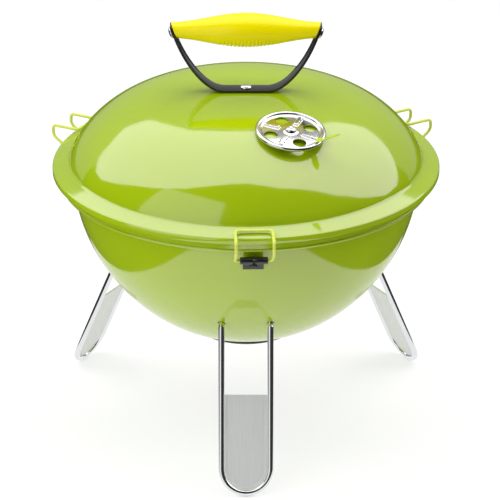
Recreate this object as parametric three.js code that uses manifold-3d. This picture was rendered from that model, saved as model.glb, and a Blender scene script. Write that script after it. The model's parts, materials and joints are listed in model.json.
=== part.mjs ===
// A portable kettle charcoal grill: an enamelled bowl on three wire legs, a domed lid held down by
// three wire bails, vents above and below, and two grates inside.
// Units are millimetres, +Z is up, and the bowl's axis meets the ground at the origin.
// The front, where one leg and one bail stand, faces -Y. Azimuths turn the front towards +X.

import * as THREE from 'three';
import { mergeVertices } from 'three/addons/utils/BufferGeometryUtils.js';
import Module from 'manifold-3d';

const wasm = await Module();
wasm.setup();

// ---------------------------------------------------------------- driving dimensions

const BOWL_ROUND = 40; // sides of the bowl
const ROUND = 36; // sides of the lid, the vent disc and the grate rings
const SMALL_ROUND = 12; // sides of screws, nuts' bores and small holes
const TINY_ROUND = 8; // sides of the holes through the bowl's wall
const WIRE_SIDES = 8;
const BEND_STEPS = 3; // steps round a bend of thin wire
const LEG_BEND_STEPS = 6;
const SHEET = 1.2; // enamelled steel
const GAP = 0.3; // left between pieces that touch or are welded
const FACET_SLACK = 1.2; // more room beside the flat-sided walls of the bowl and lid
const HOLE_ROOM = 0.5; // between a screw or rivet and its hole
const NUT_ROOM = 0.3; // between a bolt and its nut
const THROUGH = 60; // length of the tools that cut holes upwards
const SHORT_TOOL = 8; // how far the tools for holes in a wall reach to each side of it
const THIRDS = 3; // legs, bails and grate supports stand in threes

// lid
const RIM_Z = 270.3; // where the lid's dome meets its flange
const FLANGE_RADIUS = 190;
const FLANGE_SLOPE = 17; // degrees by which the flange falls outwards
const FLANGE_EDGE = 2.5; // rounding of the flange's outer edge
const SKIRT_DROP = 10;
const DOME_RADIUS = 173.7;
const DOME_HEIGHT = 69.5;
const DOME_POWERS = { across: 3.45, up: 1.31 };
const DOME_FOOT = 4.5; // fillet between dome and flange

// bowl
const BOWL_RADIUS = 170.6;
const BOWL_TOP_Z = 260.8; // where the bowl's ellipse would stand upright
const BOWL_DEPTH = 175.7;
const BOWL_POWER = 1.95;
const BOWL_WALL_Z = 246; // the wall turns out into the flange here
const BOWL_FLANGE_RADIUS = 181.5;
const BOWL_FLANGE_Z = RIM_Z - 3.3;
const BOWL_FLARE_OUTSIDE = [[172.2, 250.4], [174.6, 257], [177.2, 263.4]]; // wall to flange, (r, z)
const BOWL_FLARE_INSIDE = [[177, BOWL_FLANGE_Z], [173.4, 257.6]];
const BOWL_EDGE = 1; // bevel of the flange's outer edge
const HEM_BEAD = { r: 180.7, z: 250.6, radius: 1.7 }; // rolled edge of the flange turned down

// legs
const FOOT_RADIUS = 197; // from the bowl's axis to the middle of a foot wire
const LEG_WIRE = 3;
const LEG_HALF_SPAN = 23.5; // from a leg's middle to the middle of its wire
const LEG_SLOPE = THREE.MathUtils.degToRad(66); // up from the ground
const LEG_BEND = 8;
const LEG_STUD_RADIUS = 131; // where the studs pass through the bowl
const LEG_STUD_INSIDE = 11;
const LEG_HOLE_ROOM = 0.8;
const LEG_NUT = { corners: 10.6, thick: 4.5, inside: 6.2 };
const PLATE_TOP_Z = 89;
const PLATE_THICK = 1.6;

// clamps
const CLAMP_TURN = THREE.MathUtils.degToRad(2.3); // the clamps sit a little round from the legs
const PIVOT_RADIUS = 184;
const PIVOT_Z = 241.5;
const BAIL_WIRE = 1.5;
const BAIL_HALF_WIDTH = 17.4;
const BAIL_BAR_RADIUS = 182;
const BAIL_OUTER_RADIUS = 210.5;
const BAIL_TOP_Z = 271; // the bar lies on the lid's flange
const BAIL_BEND = 4;
const BAIL_KNEE = { out: 0.6, rise: 18.5, bend: 9 }; // where the bail stands out furthest
const BAIL_FOOT_BEND = 3;
const BAIL_HELD = 5.5; // length of each wire end inside the bracket's curl
const BRACKET_HALF_WIDTH = 9.7;
const BRACKET_SHEET = 1.5;
const BRACKET_FOOT_Z = 225.5;
const BRACKET_SHELF_Z = 236;
const BARREL_RADIUS = 3.4;
const BARREL_BORE = 2;
const CURL = { from: -67.5, to: 180, steps: 11, step: 2.9 }; // the bracket's curl, in degrees
const RIVET_Z = 230.5;
const RIVET = { head: 3.6, height: 1.6, length: 6, off: 0.9 };

// handle
const STRAP_WIDTH = 16;
const STRAP_THICK = 2.4;
const STRAP_BASE_HALF = 20.5;
const STRAP_TIP = { x: 72.2, z: 406 };
const STRAP_TIP_SLOPE = THREE.MathUtils.degToRad(69);
const STRAP_CURVE = { base: 18, tip: 28, straight: 14 }; // how far the bend reaches at its ends
const STRAP_SCREW_DOWN = 6.6; // from the strap's tip to the middle of its screw
const GRIP_Z = 402;
const GRIP_REACH = 74; // from the middle to past the ends, before they are cut square
const GRIP = { neck: 7.4, swell: 9.2, run: 79, power: 2.2 };
const BOLT_RADIUS = 3;
const BOLT = { head: 5.6, height: 3, length: 11.4 };
const BOLT_HOLE_ROOM = 0.4;
const BOLT_NUT = { corners: 11, thick: 4 };
const SCREW_SHANK = 2;
const SCREW = { head: 5.8, height: 3, length: 16 };

// lid vent
const VENT_X = 42;
const VENT_Y = -92;
const VENT_TILT = THREE.MathUtils.degToRad(11.5);
const VENT_RADIUS = 34;
const VENT_HOLE_RADIUS = 6.5;
const VENT_HOLE_CIRCLE = 20.5;
const VENT_LIFT = 1.9; // underside of the disc over the dome
const VENT_HOLES = 4;
const VENT_SHUT_PHASE = THREE.MathUtils.degToRad(23.5); // where the disc's first hole stands
const VENT_OPEN_PHASE = VENT_SHUT_PHASE + Math.PI / VENT_HOLES;
const VENT_RIB = { length: 13, width: 3.4, height: 1.4 };
const VENT_TAB_AZIMUTH = THREE.MathUtils.degToRad(-35);
const VENT_TAB = { half: 4.2, thick: 1.5, rise: 4, inside: 4.8, outside: 20 };
const VENT_TAB_SLOPE = THREE.MathUtils.degToRad(43);
const VENT_WASHER = { corners: 9, thick: 0.7 };

// bottom vent
const DAMPER_RADIUS = 50;
const DAMPER_HOLE_RADIUS = 7;
const DAMPER_HOLE_CIRCLE = 28;
const DAMPER_OFF = GAP + 0.3; // between the damper and the bowl
const DAMPER_TAB = { width: 14, length: 20, thick: 1.6, out: 8, down: 2.4 };
const DAMPER_TAB_SLOPE = THREE.MathUtils.degToRad(12);
const DAMPER_SCREW = { head: 6, height: 2.6, length: 11, down: 2.4 };
const DAMPER_NUT = { corners: 9, thick: 3 };

// grates
const GRATE_RING_WIRE = 2.5;
const GRATE_ROD = 1.6;
const COOKING_RADIUS = 161;
const COOKING_Z = 252;
const COOKING_PITCH = 15;
const COOKING_BAR_X = 62;
const CHARCOAL_PITCH = 18;
const CHARCOAL_BAR_X = 45;
const WELD = 0.6; // how deep a rod sits in the bar below it
const ROD_SIDES = 6;
const SUPPORT = { width: 14, drop: 14, thick: 1.6, under: 6 };
const CHARCOAL_TOUCH_RADIUS = 113; // where the charcoal grate meets the bowl

// ---------------------------------------------------------------- materials

function finish(color, roughness, metalness) {
  return new THREE.MeshStandardMaterial({ color, roughness, metalness });
}

const limeEnamel = finish(0x9fc020, 0.18, 0);
const yellowPlastic = finish(0xe6dc00, 0.35, 0);
const yellowWire = finish(0xd8e85a, 0.35, 0);
const blackSteel = finish(0x1c1c1e, 0.45, 0.2);
const chrome = finish(0xd5d7da, 0.12, 1);
const greyPlate = finish(0xbdbfbe, 0.4, 0.4);
const limeTab = finish(0xc4dc1e, 0.35, 0);

// ---------------------------------------------------------------- geometry helpers

function merged(geometry) {
  const bare = geometry.clone();
  bare.deleteAttribute('normal');
  bare.deleteAttribute('uv');
  return mergeVertices(bare, 1e-4);
}

function solid(geometry) {
  const shared = merged(geometry);
  return new wasm.Manifold(new wasm.Mesh({
    numProp: 3,
    vertProperties: shared.attributes.position.array,
    triVerts: new Uint32Array(shared.index.array),
  }));
}

function geometryOf(manifold) {
  const mesh = manifold.getMesh();
  const geometry = new THREE.BufferGeometry();
  geometry.setAttribute('position', new THREE.BufferAttribute(mesh.vertProperties, 3));
  geometry.setIndex(new THREE.BufferAttribute(mesh.triVerts, 1));
  geometry.computeVertexNormals();
  return geometry;
}

function cut(geometry, tools) {
  let result = solid(geometry);
  for (const tool of tools) {
    result = result.subtract(solid(tool));
  }
  return geometryOf(result);
}

function joined(geometries) {
  let result = solid(geometries[0]);
  for (const geometry of geometries.slice(1)) {
    result = result.add(solid(geometry));
  }
  return geometryOf(result);
}

// Turns a profile of [radius, height] points about +Z. The profile runs up its outer side.
function turned(profile, sides) {
  const points = profile.map(([r, z]) => new THREE.Vector2(r, z));
  return new THREE.LatheGeometry(points, sides).rotateX(Math.PI / 2);
}

function cylinder(radius, height, sides = SMALL_ROUND) {
  return new THREE.CylinderGeometry(radius, radius, height, sides).rotateX(Math.PI / 2);
}

// A curve through listed points, so that an extrusion has one step for each of them.
class PointCurve extends THREE.Curve {
  constructor(points) {
    super();
    this.points = points;
  }

  getPoint(t, target = new THREE.Vector3()) {
    const last = this.points.length - 1;
    const i = Math.min(Math.floor(t * last), last - 1);
    return target.lerpVectors(this.points[i], this.points[i + 1], t * last - i);
  }

  getPointAt(u, target) {
    return this.getPoint(u, target);
  }

  getTangentAt(u, target = new THREE.Vector3()) {
    const last = this.points.length - 1;
    const i = Math.round(u * last);
    const here = this.points[i];
    const before = this.points[Math.max(i - 1, 0)];
    const after = this.points[Math.min(i + 1, last)];
    const back = here.clone().sub(before).normalize();
    return target.subVectors(after, here).normalize().add(back).normalize();
  }
}

// The points of a path with straight runs between corners and an arc of its own radius at each.
function bentPath(corners, radii, arcSteps) {
  const points = [corners[0]];
  for (let i = 1; i < corners.length - 1; i += 1) {
    const comes = corners[i].clone().sub(corners[i - 1]).normalize();
    const goes = corners[i + 1].clone().sub(corners[i]).normalize();
    const turn = comes.angleTo(goes);
    const radius = radii[i - 1];
    const start = corners[i].clone().addScaledVector(comes, -radius * Math.tan(turn / 2));
    const side = goes.clone().addScaledVector(comes, -comes.dot(goes)).normalize();
    const centre = start.clone().addScaledVector(side, radius);
    for (let k = 0; k <= arcSteps; k += 1) {
      const angle = turn * k / arcSteps;
      const point = centre.clone()
        .addScaledVector(side, -radius * Math.cos(angle))
        .addScaledVector(comes, radius * Math.sin(angle));
      if (point.distanceTo(points[points.length - 1]) > GAP) points.push(point);
    }
  }
  points.push(corners[corners.length - 1]);
  return points;
}

function regularShape(radius, sides, turn = 0) {
  const shape = new THREE.Shape();
  for (let i = 0; i < sides; i += 1) {
    const angle = turn + 2 * Math.PI * i / sides;
    const [x, y] = [radius * Math.cos(angle), radius * Math.sin(angle)];
    if (i === 0) shape.moveTo(x, y);
    else shape.lineTo(x, y);
  }
  shape.closePath();
  return shape;
}

function wire(points, radius, sides = WIRE_SIDES) {
  return new THREE.ExtrudeGeometry(regularShape(radius, sides, Math.PI / sides), {
    steps: points.length - 1,
    extrudePath: new PointCurve(points),
  });
}

function plate(shape, thickness) {
  const geometry = new THREE.ExtrudeGeometry(shape, {
    depth: thickness,
    steps: 1,
    bevelEnabled: false,
    curveSegments: 8,
  });
  return geometry.translate(0, 0, -thickness / 2);
}

function hexNut(acrossCorners, bore, thickness) {
  const shape = regularShape(acrossCorners / 2, 6);
  shape.holes.push(new THREE.Path(regularShape(bore, 12).getPoints().reverse()));
  return plate(shape, thickness);
}

// A domed head of a screw or rivet with its shank below it; z = 0 is the head's underside.
function domedPin(headRadius, headHeight, shankRadius, shankLength) {
  const steps = 3;
  const profile = [[0, -shankLength], [shankRadius, -shankLength], [shankRadius, 0]];
  for (let i = 0; i <= steps; i += 1) {
    const angle = Math.PI / 2 * i / steps;
    profile.push([headRadius * Math.cos(angle), headHeight * Math.sin(angle)]);
  }
  profile[profile.length - 1][0] = 0;
  return turned(profile, SMALL_ROUND);
}

// ---------------------------------------------------------------- curves of bowl and lid

// A point on a quarter of a superellipse, from upright (t = 0) to level (t = 1), and its normal.
function quarter(t, radius, height, across, up) {
  const angle = t * Math.PI / 2;
  const u = Math.cos(angle) ** (2 / across);
  const v = Math.sin(angle) ** (2 / up);
  const normal = new THREE.Vector2(across * u ** (across - 1) / radius, up * v ** (up - 1) / height);
  return { r: radius * u, h: height * v, normal: normal.normalize() };
}

function domePoint(t, inset = 0) {
  const at = quarter(t, DOME_RADIUS, DOME_HEIGHT, DOME_POWERS.across, DOME_POWERS.up);
  return [at.r - inset * at.normal.x, RIM_Z + at.h - inset * at.normal.y];
}

function bowlPoint(t, inset = 0) {
  const at = quarter(t, BOWL_RADIUS, BOWL_DEPTH, BOWL_POWER, BOWL_POWER);
  return [at.r - inset * at.normal.x, BOWL_TOP_Z - at.h + inset * at.normal.y];
}

// The place on a curve where its radius, or its height, has the wanted value.
function findPlace(curve, index, wanted) {
  let [low, high] = [0, 1];
  const falls = curve(0)[index] > curve(1)[index];
  for (let i = 0; i < 40; i += 1) {
    const middle = (low + high) / 2;
    if ((curve(middle)[index] > wanted) === falls) low = middle;
    else high = middle;
  }
  return low;
}

function samples(curve, from, to, count) {
  return Array.from({ length: count + 1 }, (_, i) => curve(from + (to - from) * i / count));
}

// Quarter-round points about a centre in a profile.
function arc(centre, radius, fromDegrees, toDegrees, count) {
  return Array.from({ length: count + 1 }, (_, i) => {
    const angle = THREE.MathUtils.degToRad(fromDegrees + (toDegrees - fromDegrees) * i / count);
    return [centre[0] + radius * Math.cos(angle), centre[1] + radius * Math.sin(angle)];
  });
}

// ---------------------------------------------------------------- scene graph helpers

const grill = new THREE.Group();

function add(name, geometry, material, parent = grill) {
  const mesh = new THREE.Mesh(geometry, material);
  mesh.name = name;
  parent.add(mesh);
  return mesh;
}

function turnedGroup(azimuth, parent = grill) {
  const group = new THREE.Group();
  group.rotation.z = azimuth;
  parent.add(group);
  return group;
}

// The three places of a set: front, right rear and left rear.
const PLACES = ['front', 'right', 'left'].map((side, i) => ({
  side,
  azimuth: i * 2 * Math.PI / THIRDS,
}));

// ---------------------------------------------------------------- bowl

const bowlWallT = findPlace(bowlPoint, 1, BOWL_WALL_Z);
const studT = findPlace(bowlPoint, 0, LEG_STUD_RADIUS);

// The point where a leg's studs cross the bowl's wall, and the bowl's normal there, in (r, z).
const studWall = bowlPoint(studT);
const studNormal = quarter(studT, BOWL_RADIUS, BOWL_DEPTH, BOWL_POWER, BOWL_POWER).normal;
const studDepth = Math.sqrt(LEG_STUD_RADIUS ** 2 - LEG_HALF_SPAN ** 2); // outwards from the axis
const studPoint = new THREE.Vector3(0, -studDepth, studWall[1]);
const studInwards = new THREE.Vector3(0, studNormal.x, studNormal.y);

function alongStud(geometry, distance, x) {
  const aimed = geometry.applyQuaternion(
    new THREE.Quaternion().setFromUnitVectors(new THREE.Vector3(0, 0, 1), studInwards),
  );
  const place = studPoint.clone().addScaledVector(studInwards, distance);
  return aimed.translate(x, place.y, place.z);
}

function makeBowl() {
  const outside = samples(bowlPoint, 1, bowlWallT, 10);
  const inside = samples((t) => bowlPoint(t, SHEET), bowlWallT, 1, 9);
  inside[inside.length - 1][0] = 0;
  outside[0][0] = 0;
  const hemInside = BOWL_FLANGE_RADIUS - SHEET;
  const flange = [
    ...BOWL_FLARE_OUTSIDE,
    [hemInside - BOWL_EDGE, BOWL_FLANGE_Z - SHEET],
    [hemInside, BOWL_FLANGE_Z - SHEET - BOWL_EDGE],
    ...arc([HEM_BEAD.r, HEM_BEAD.z], HEM_BEAD.radius, 104, 422, 8),
    [BOWL_FLANGE_RADIUS, BOWL_FLANGE_Z - BOWL_EDGE],
    [BOWL_FLANGE_RADIUS - BOWL_EDGE, BOWL_FLANGE_Z],
    ...BOWL_FLARE_INSIDE,
  ];
  const shell = turned([...outside, ...flange, ...inside], BOWL_ROUND);
  const holes = damperHoles(bowlPoint(1)[1]);
  for (const { azimuth } of PLACES) {
    for (const side of [-1, 1]) {
      const tool = cylinder(LEG_WIRE + LEG_HOLE_ROOM, 2 * SHORT_TOOL, TINY_ROUND);
      holes.push(alongStud(tool, 0, side * LEG_HALF_SPAN).rotateZ(azimuth));
    }
    holes.push(rivetHole().rotateZ(azimuth + CLAMP_TURN));
  }
  return cut(shell, holes);
}

// The holes of the bottom vent, through whatever lies at a height.
function damperHoles(z) {
  const holes = [cylinder(BOLT_RADIUS, THROUGH).translate(0, 0, z)];
  for (let i = 0; i < VENT_HOLES; i += 1) {
    const angle = (i + 0.5) * 2 * Math.PI / VENT_HOLES;
    const [x, y] = [DAMPER_HOLE_CIRCLE * Math.cos(angle), DAMPER_HOLE_CIRCLE * Math.sin(angle)];
    holes.push(cylinder(DAMPER_HOLE_RADIUS, THROUGH).translate(x, y, z));
  }
  return holes;
}

// ---------------------------------------------------------------- clamps

// The radius of the bowl's outer wall at a height.
function bracketWall(z) {
  return bowlPoint(findPlace(bowlPoint, 1, z))[0];
}

// A bent strip, seen from the side: riveted foot on the bowl, shelf, and a curl that holds the bail.
function makeBracket() {
  const foot = bracketWall(BRACKET_FOOT_Z) + GAP;
  const shelf = bracketWall(BRACKET_SHELF_Z) + GAP;
  const shape = new THREE.Shape();
  const curlLow = PIVOT_Z - BARREL_RADIUS;
  const outline = [
    [foot + BRACKET_SHEET, BRACKET_FOOT_Z],
    [shelf + BRACKET_SHEET, BRACKET_SHELF_Z],
    [PIVOT_RADIUS, curlLow],
    ...arc([PIVOT_RADIUS, PIVOT_Z], BARREL_RADIUS, CURL.from, CURL.to, CURL.steps),
    [PIVOT_RADIUS - BARREL_RADIUS - 1, curlLow + CURL.step],
    [shelf + 1, BRACKET_SHELF_Z + BRACKET_SHEET],
    [shelf, BRACKET_SHELF_Z],
    [foot, BRACKET_FOOT_Z],
  ];
  outline.forEach(([r, z], i) => (i === 0 ? shape.moveTo(r, z) : shape.lineTo(r, z)));
  shape.closePath();
  const bore = regularShape(BARREL_BORE, SMALL_ROUND).getPoints().reverse();
  const hole = new THREE.Path(bore.map((p) => new THREE.Vector2(p.x + PIVOT_RADIUS, p.y + PIVOT_Z)));
  shape.holes.push(hole);
  // the profile's (r, z) plane is turned so that r points to -Y and the width lies along X
  const upright = plate(shape, 2 * BRACKET_HALF_WIDTH).rotateX(Math.PI / 2).rotateZ(-Math.PI / 2);
  return cut(upright, [rivetHole()]);
}

function rivetHole() {
  const tool = cylinder(SCREW_SHANK + HOLE_ROOM, 2 * SHORT_TOOL, TINY_ROUND).rotateX(Math.PI / 2);
  return tool.translate(0, -bracketWall(RIVET_Z), RIVET_Z);
}

// A bail: the wire leaves the bracket's curl, swells outwards past the rim and hooks over the lid.
function makeBail() {
  const x = BAIL_HALF_WIDTH;
  const side = (sign) => [
    new THREE.Vector3(sign * (BRACKET_HALF_WIDTH - BAIL_HELD), -PIVOT_RADIUS, PIVOT_Z),
    new THREE.Vector3(sign * x, -PIVOT_RADIUS, PIVOT_Z),
    new THREE.Vector3(sign * x, -BAIL_OUTER_RADIUS - BAIL_KNEE.out, PIVOT_Z + BAIL_KNEE.rise),
    new THREE.Vector3(sign * x, -BAIL_OUTER_RADIUS, BAIL_TOP_Z),
    new THREE.Vector3(sign * x, -BAIL_BAR_RADIUS, BAIL_TOP_Z),
  ];
  const corners = [...side(-1), ...side(1).reverse()];
  const radii = [BAIL_FOOT_BEND, BAIL_KNEE.bend, BAIL_BEND, BAIL_BEND];
  return wire(bentPath(corners, [...radii, ...radii.toReversed()], BEND_STEPS), BAIL_WIRE);
}

function makeClamps() {
  for (const { side, azimuth } of PLACES) {
    const place = turnedGroup(azimuth + CLAMP_TURN);
    add(`clamp_bracket_${side}`, makeBracket(), blackSteel, place);
    add(`clamp_bail_${side}`, makeBail(), yellowWire, place);
    const rivet = domedPin(RIVET.head, RIVET.height, SCREW_SHANK, RIVET.length);
    const seat = bracketWall(RIVET_Z) + GAP + BRACKET_SHEET + RIVET.off;
    rivet.rotateX(Math.PI / 2).translate(0, -seat, RIVET_Z);
    add(`clamp_rivet_${side}`, rivet, blackSteel, place);
  }
}

// ---------------------------------------------------------------- legs

// Each leg is one wire bent to a U, its ends turned through the bowl's wall as threaded studs.
function makeLegWire() {
  const up = new THREE.Vector3(0, Math.cos(LEG_SLOPE), Math.sin(LEG_SLOPE));
  const foot = new THREE.Vector3(0, -FOOT_RADIUS, LEG_WIRE);
  // the straight run and the stud's line meet at the knee
  const reach = studPoint.clone().sub(foot);
  const across = up.y * studInwards.z - up.z * studInwards.y;
  const length = (reach.y * studInwards.z - reach.z * studInwards.y) / across;
  const knee = foot.clone().addScaledVector(up, length);
  const tip = studPoint.clone().addScaledVector(studInwards, LEG_STUD_INSIDE);
  const at = (point, x) => point.clone().setX(x);
  const s = LEG_HALF_SPAN;
  const corners = [at(tip, -s), at(knee, -s), at(foot, -s), at(foot, s), at(knee, s), at(tip, s)];
  return wire(bentPath(corners, [LEG_BEND, s, s, LEG_BEND], LEG_BEND_STEPS), LEG_WIRE);
}

function makeLegPlate() {
  const half = LEG_HALF_SPAN - LEG_WIRE - GAP;
  const shape = new THREE.Shape();
  const top = (PLATE_TOP_Z - LEG_WIRE) / Math.sin(LEG_SLOPE);
  shape.moveTo(half, top);
  shape.lineTo(-half, top);
  shape.lineTo(-half, LEG_HALF_SPAN);
  shape.absarc(0, LEG_HALF_SPAN, half, Math.PI, 2 * Math.PI);
  shape.lineTo(half, top);
  return plate(shape, PLATE_THICK);
}

function makeLegs() {
  for (const { side, azimuth } of PLACES) {
    const place = turnedGroup(azimuth);
    add(`leg_wire_${side}`, makeLegWire(), chrome, place);
    const cover = add(`leg_plate_${side}`, makeLegPlate(), greyPlate, place);
    cover.rotation.x = LEG_SLOPE;
    cover.position.set(0, -FOOT_RADIUS, LEG_WIRE);
    for (const [hand, sign] of [['a', -1], ['b', 1]]) {
      const nut = hexNut(LEG_NUT.corners, LEG_WIRE + NUT_ROOM, LEG_NUT.thick);
      const placed = alongStud(nut, LEG_NUT.inside, sign * LEG_HALF_SPAN);
      add(`leg_nut_${side}_${hand}`, placed, chrome, place);
    }
  }
}

// ---------------------------------------------------------------- bottom vent

function makeDamper() {
  const edgeT = findPlace(bowlPoint, 0, DAMPER_RADIUS);
  const under = samples((t) => bowlPoint(t, -DAMPER_OFF - SHEET), 1, edgeT, 3);
  const over = samples((t) => bowlPoint(t, -DAMPER_OFF), edgeT, 1, 3);
  under[0][0] = 0;
  over[over.length - 1][0] = 0;
  const [edgeR, edgeZ] = under[under.length - 1];
  const lip = [[edgeR + 0.2, edgeZ - 2.4], [edgeR + 1.4, edgeZ - 2.2]];
  const disc = turned([...under, ...lip, ...over], ROUND);
  const tab = new THREE.BoxGeometry(DAMPER_TAB.width, DAMPER_TAB.length, DAMPER_TAB.thick);
  tab.rotateX(-DAMPER_TAB_SLOPE).translate(0, edgeR + DAMPER_TAB.out, edgeZ - DAMPER_TAB.down);
  return cut(joined([disc, tab]), damperHoles(edgeZ));
}

function makeBottomVent() {
  const bottom = bowlPoint(1)[1];
  add('bottom_vent_damper', makeDamper(), blackSteel);
  const { head, height, length, down } = DAMPER_SCREW;
  const screw = domedPin(head, height, BOLT_RADIUS - HOLE_ROOM, length).rotateX(Math.PI);
  add('bottom_vent_screw', screw.translate(0, 0, bottom - down - GAP), chrome);
  const nut = hexNut(DAMPER_NUT.corners, BOLT_RADIUS - HOLE_ROOM + NUT_ROOM, DAMPER_NUT.thick);
  const lift = SHEET + 2 * GAP + DAMPER_NUT.thick / 2;
  add('bottom_vent_nut', nut.translate(0, 0, bottom + lift), chrome);
}

// ---------------------------------------------------------------- grates

// A ring with parallel rods across it and two bars under the rods, all welded.
function makeGrate(radius, pitch, barAt) {
  const centre = [radius, 0];
  const ring = arc(centre, GRATE_RING_WIRE, -180, 180, WIRE_SIDES);
  const pieces = [turned(ring, ROUND)];
  const count = Math.floor((radius - GRATE_RING_WIRE) / pitch);
  for (let i = -count; i <= count; i += 1) {
    const y = i * pitch;
    const half = Math.sqrt(radius ** 2 - y ** 2);
    const rod = cylinder(GRATE_ROD, 2 * half, ROD_SIDES);
    pieces.push(rod.rotateY(Math.PI / 2).translate(0, y, 0));
  }
  for (const sign of [-1, 1]) {
    const x = sign * barAt;
    const half = Math.sqrt(radius ** 2 - x ** 2);
    const bar = cylinder(GRATE_ROD, 2 * half, ROD_SIDES).rotateX(Math.PI / 2);
    pieces.push(bar.translate(x, 0, -2 * GRATE_ROD + WELD));
  }
  return joined(pieces);
}

// A small tab on the bowl's inner wall that carries the cooking grate.
function makeGrateSupport() {
  const shelfZ = COOKING_Z - GRATE_RING_WIRE - GAP;
  const wall = (z) => bowlPoint(findPlace(bowlPoint, 1, z), SHEET)[0] - GAP - FACET_SLACK;
  const low = shelfZ - SUPPORT.drop;
  const shelfEnd = COOKING_RADIUS - SUPPORT.under;
  const outline = [
    [wall(low), low],
    [wall(shelfZ), shelfZ],
    [shelfEnd, shelfZ],
    [shelfEnd, shelfZ - SUPPORT.thick],
    [wall(shelfZ) - SUPPORT.thick, shelfZ - SUPPORT.thick],
    [wall(low) - SUPPORT.thick, low],
  ];
  const shape = new THREE.Shape(outline.map(([r, z]) => new THREE.Vector2(r, z)));
  return plate(shape, SUPPORT.width).rotateX(Math.PI / 2).rotateZ(-Math.PI / 2);
}

function makeGrates() {
  const cooking = makeGrate(COOKING_RADIUS, COOKING_PITCH, COOKING_BAR_X);
  add('cooking_grate', cooking.translate(0, 0, COOKING_Z), chrome);
  const touchT = findPlace(bowlPoint, 0, CHARCOAL_TOUCH_RADIUS);
  const [ringR, ringZ] = bowlPoint(touchT, SHEET + GRATE_RING_WIRE + GAP + FACET_SLACK);
  const charcoal = makeGrate(ringR, CHARCOAL_PITCH, CHARCOAL_BAR_X);
  add('charcoal_grate', charcoal.translate(0, 0, ringZ), chrome);
  for (const { side, azimuth } of PLACES) {
    const place = turnedGroup(azimuth + Math.PI / THIRDS);
    add(`grate_support_${side}`, makeGrateSupport(), blackSteel, place);
  }
}

// ---------------------------------------------------------------- lid

const lidTop = RIM_Z + DOME_HEIGHT;

// The lid vent's own frame: its origin on the dome, +Z along the vent's axis.
function ventFrame() {
  const radius = Math.hypot(VENT_X, VENT_Y);
  const frame = new THREE.Group();
  frame.position.set(VENT_X, VENT_Y, domePoint(findPlace(domePoint, 0, radius))[1]);
  const outwards = new THREE.Vector3(VENT_X, VENT_Y, 0).normalize();
  const axis = new THREE.Vector3(0, 0, Math.cos(VENT_TILT));
  axis.addScaledVector(outwards, Math.sin(VENT_TILT));
  frame.quaternion.setFromUnitVectors(new THREE.Vector3(0, 0, 1), axis);
  frame.updateMatrixWorld();
  return frame;
}

function ventHoleTools(phase, frame) {
  return Array.from({ length: VENT_HOLES }, (_, i) => {
    const angle = phase + i * Math.PI / 2;
    const tool = cylinder(VENT_HOLE_RADIUS, THROUGH);
    tool.translate(VENT_HOLE_CIRCLE * Math.cos(angle), VENT_HOLE_CIRCLE * Math.sin(angle), 0);
    return tool.applyMatrix4(frame.matrixWorld);
  });
}

function makeLidShell(frame) {
  const slope = THREE.MathUtils.degToRad(FLANGE_SLOPE);
  const [fallR, fallZ] = [Math.sin(slope), Math.cos(slope)];
  // the fillet touches the dome and the sloping flange
  const beside = (t) => domePoint(t, -DOME_FOOT);
  const footT = findPlace(beside, 1, RIM_Z + DOME_FOOT * fallZ);
  const centre = beside(footT);
  const [domeR, domeZ] = domePoint(footT);
  const from = THREE.MathUtils.radToDeg(Math.atan2(domeZ - centre[1], domeR - centre[0]));
  const to = -90 - FLANGE_SLOPE;
  // the flange runs from the fillet to the rounding of its outer edge
  const edgeR = FLANGE_RADIUS - FLANGE_EDGE + FLANGE_EDGE * fallR;
  const edgeZ = RIM_Z - (edgeR - centre[0] + DOME_FOOT * fallR) * Math.tan(slope);
  const edge = [FLANGE_RADIUS - FLANGE_EDGE, edgeZ - FLANGE_EDGE * fallZ];
  const hemZ = RIM_Z - SKIRT_DROP;
  const inner = FLANGE_RADIUS - SHEET;
  const inside = samples((t) => domePoint(t, SHEET), 1, footT, 8);
  const outside = samples(domePoint, footT, 1, 11);
  inside[0][0] = 0;
  outside[outside.length - 1][0] = 0;
  const profile = [
    ...inside,
    ...arc(centre, DOME_FOOT + SHEET, from, to, 2).slice(1),
    [edgeR - SHEET * fallR, edgeZ - SHEET * fallZ],
    [inner, edge[1]],
    [inner, hemZ],
    [FLANGE_RADIUS, hemZ],
    ...arc(edge, FLANGE_EDGE, 0, 90 - FLANGE_SLOPE, 3),
    ...arc(centre, DOME_FOOT, to, from, 2).slice(0, -1),
    ...outside,
  ];
  const tools = ventHoleTools(VENT_OPEN_PHASE, frame);
  tools.push(cylinder(SCREW_SHANK + HOLE_ROOM, THROUGH).applyMatrix4(frame.matrixWorld));
  tools.push(cylinder(BOLT_RADIUS + BOLT_HOLE_ROOM, THROUGH).translate(0, 0, lidTop));
  return cut(turned(profile, ROUND), tools);
}

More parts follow.
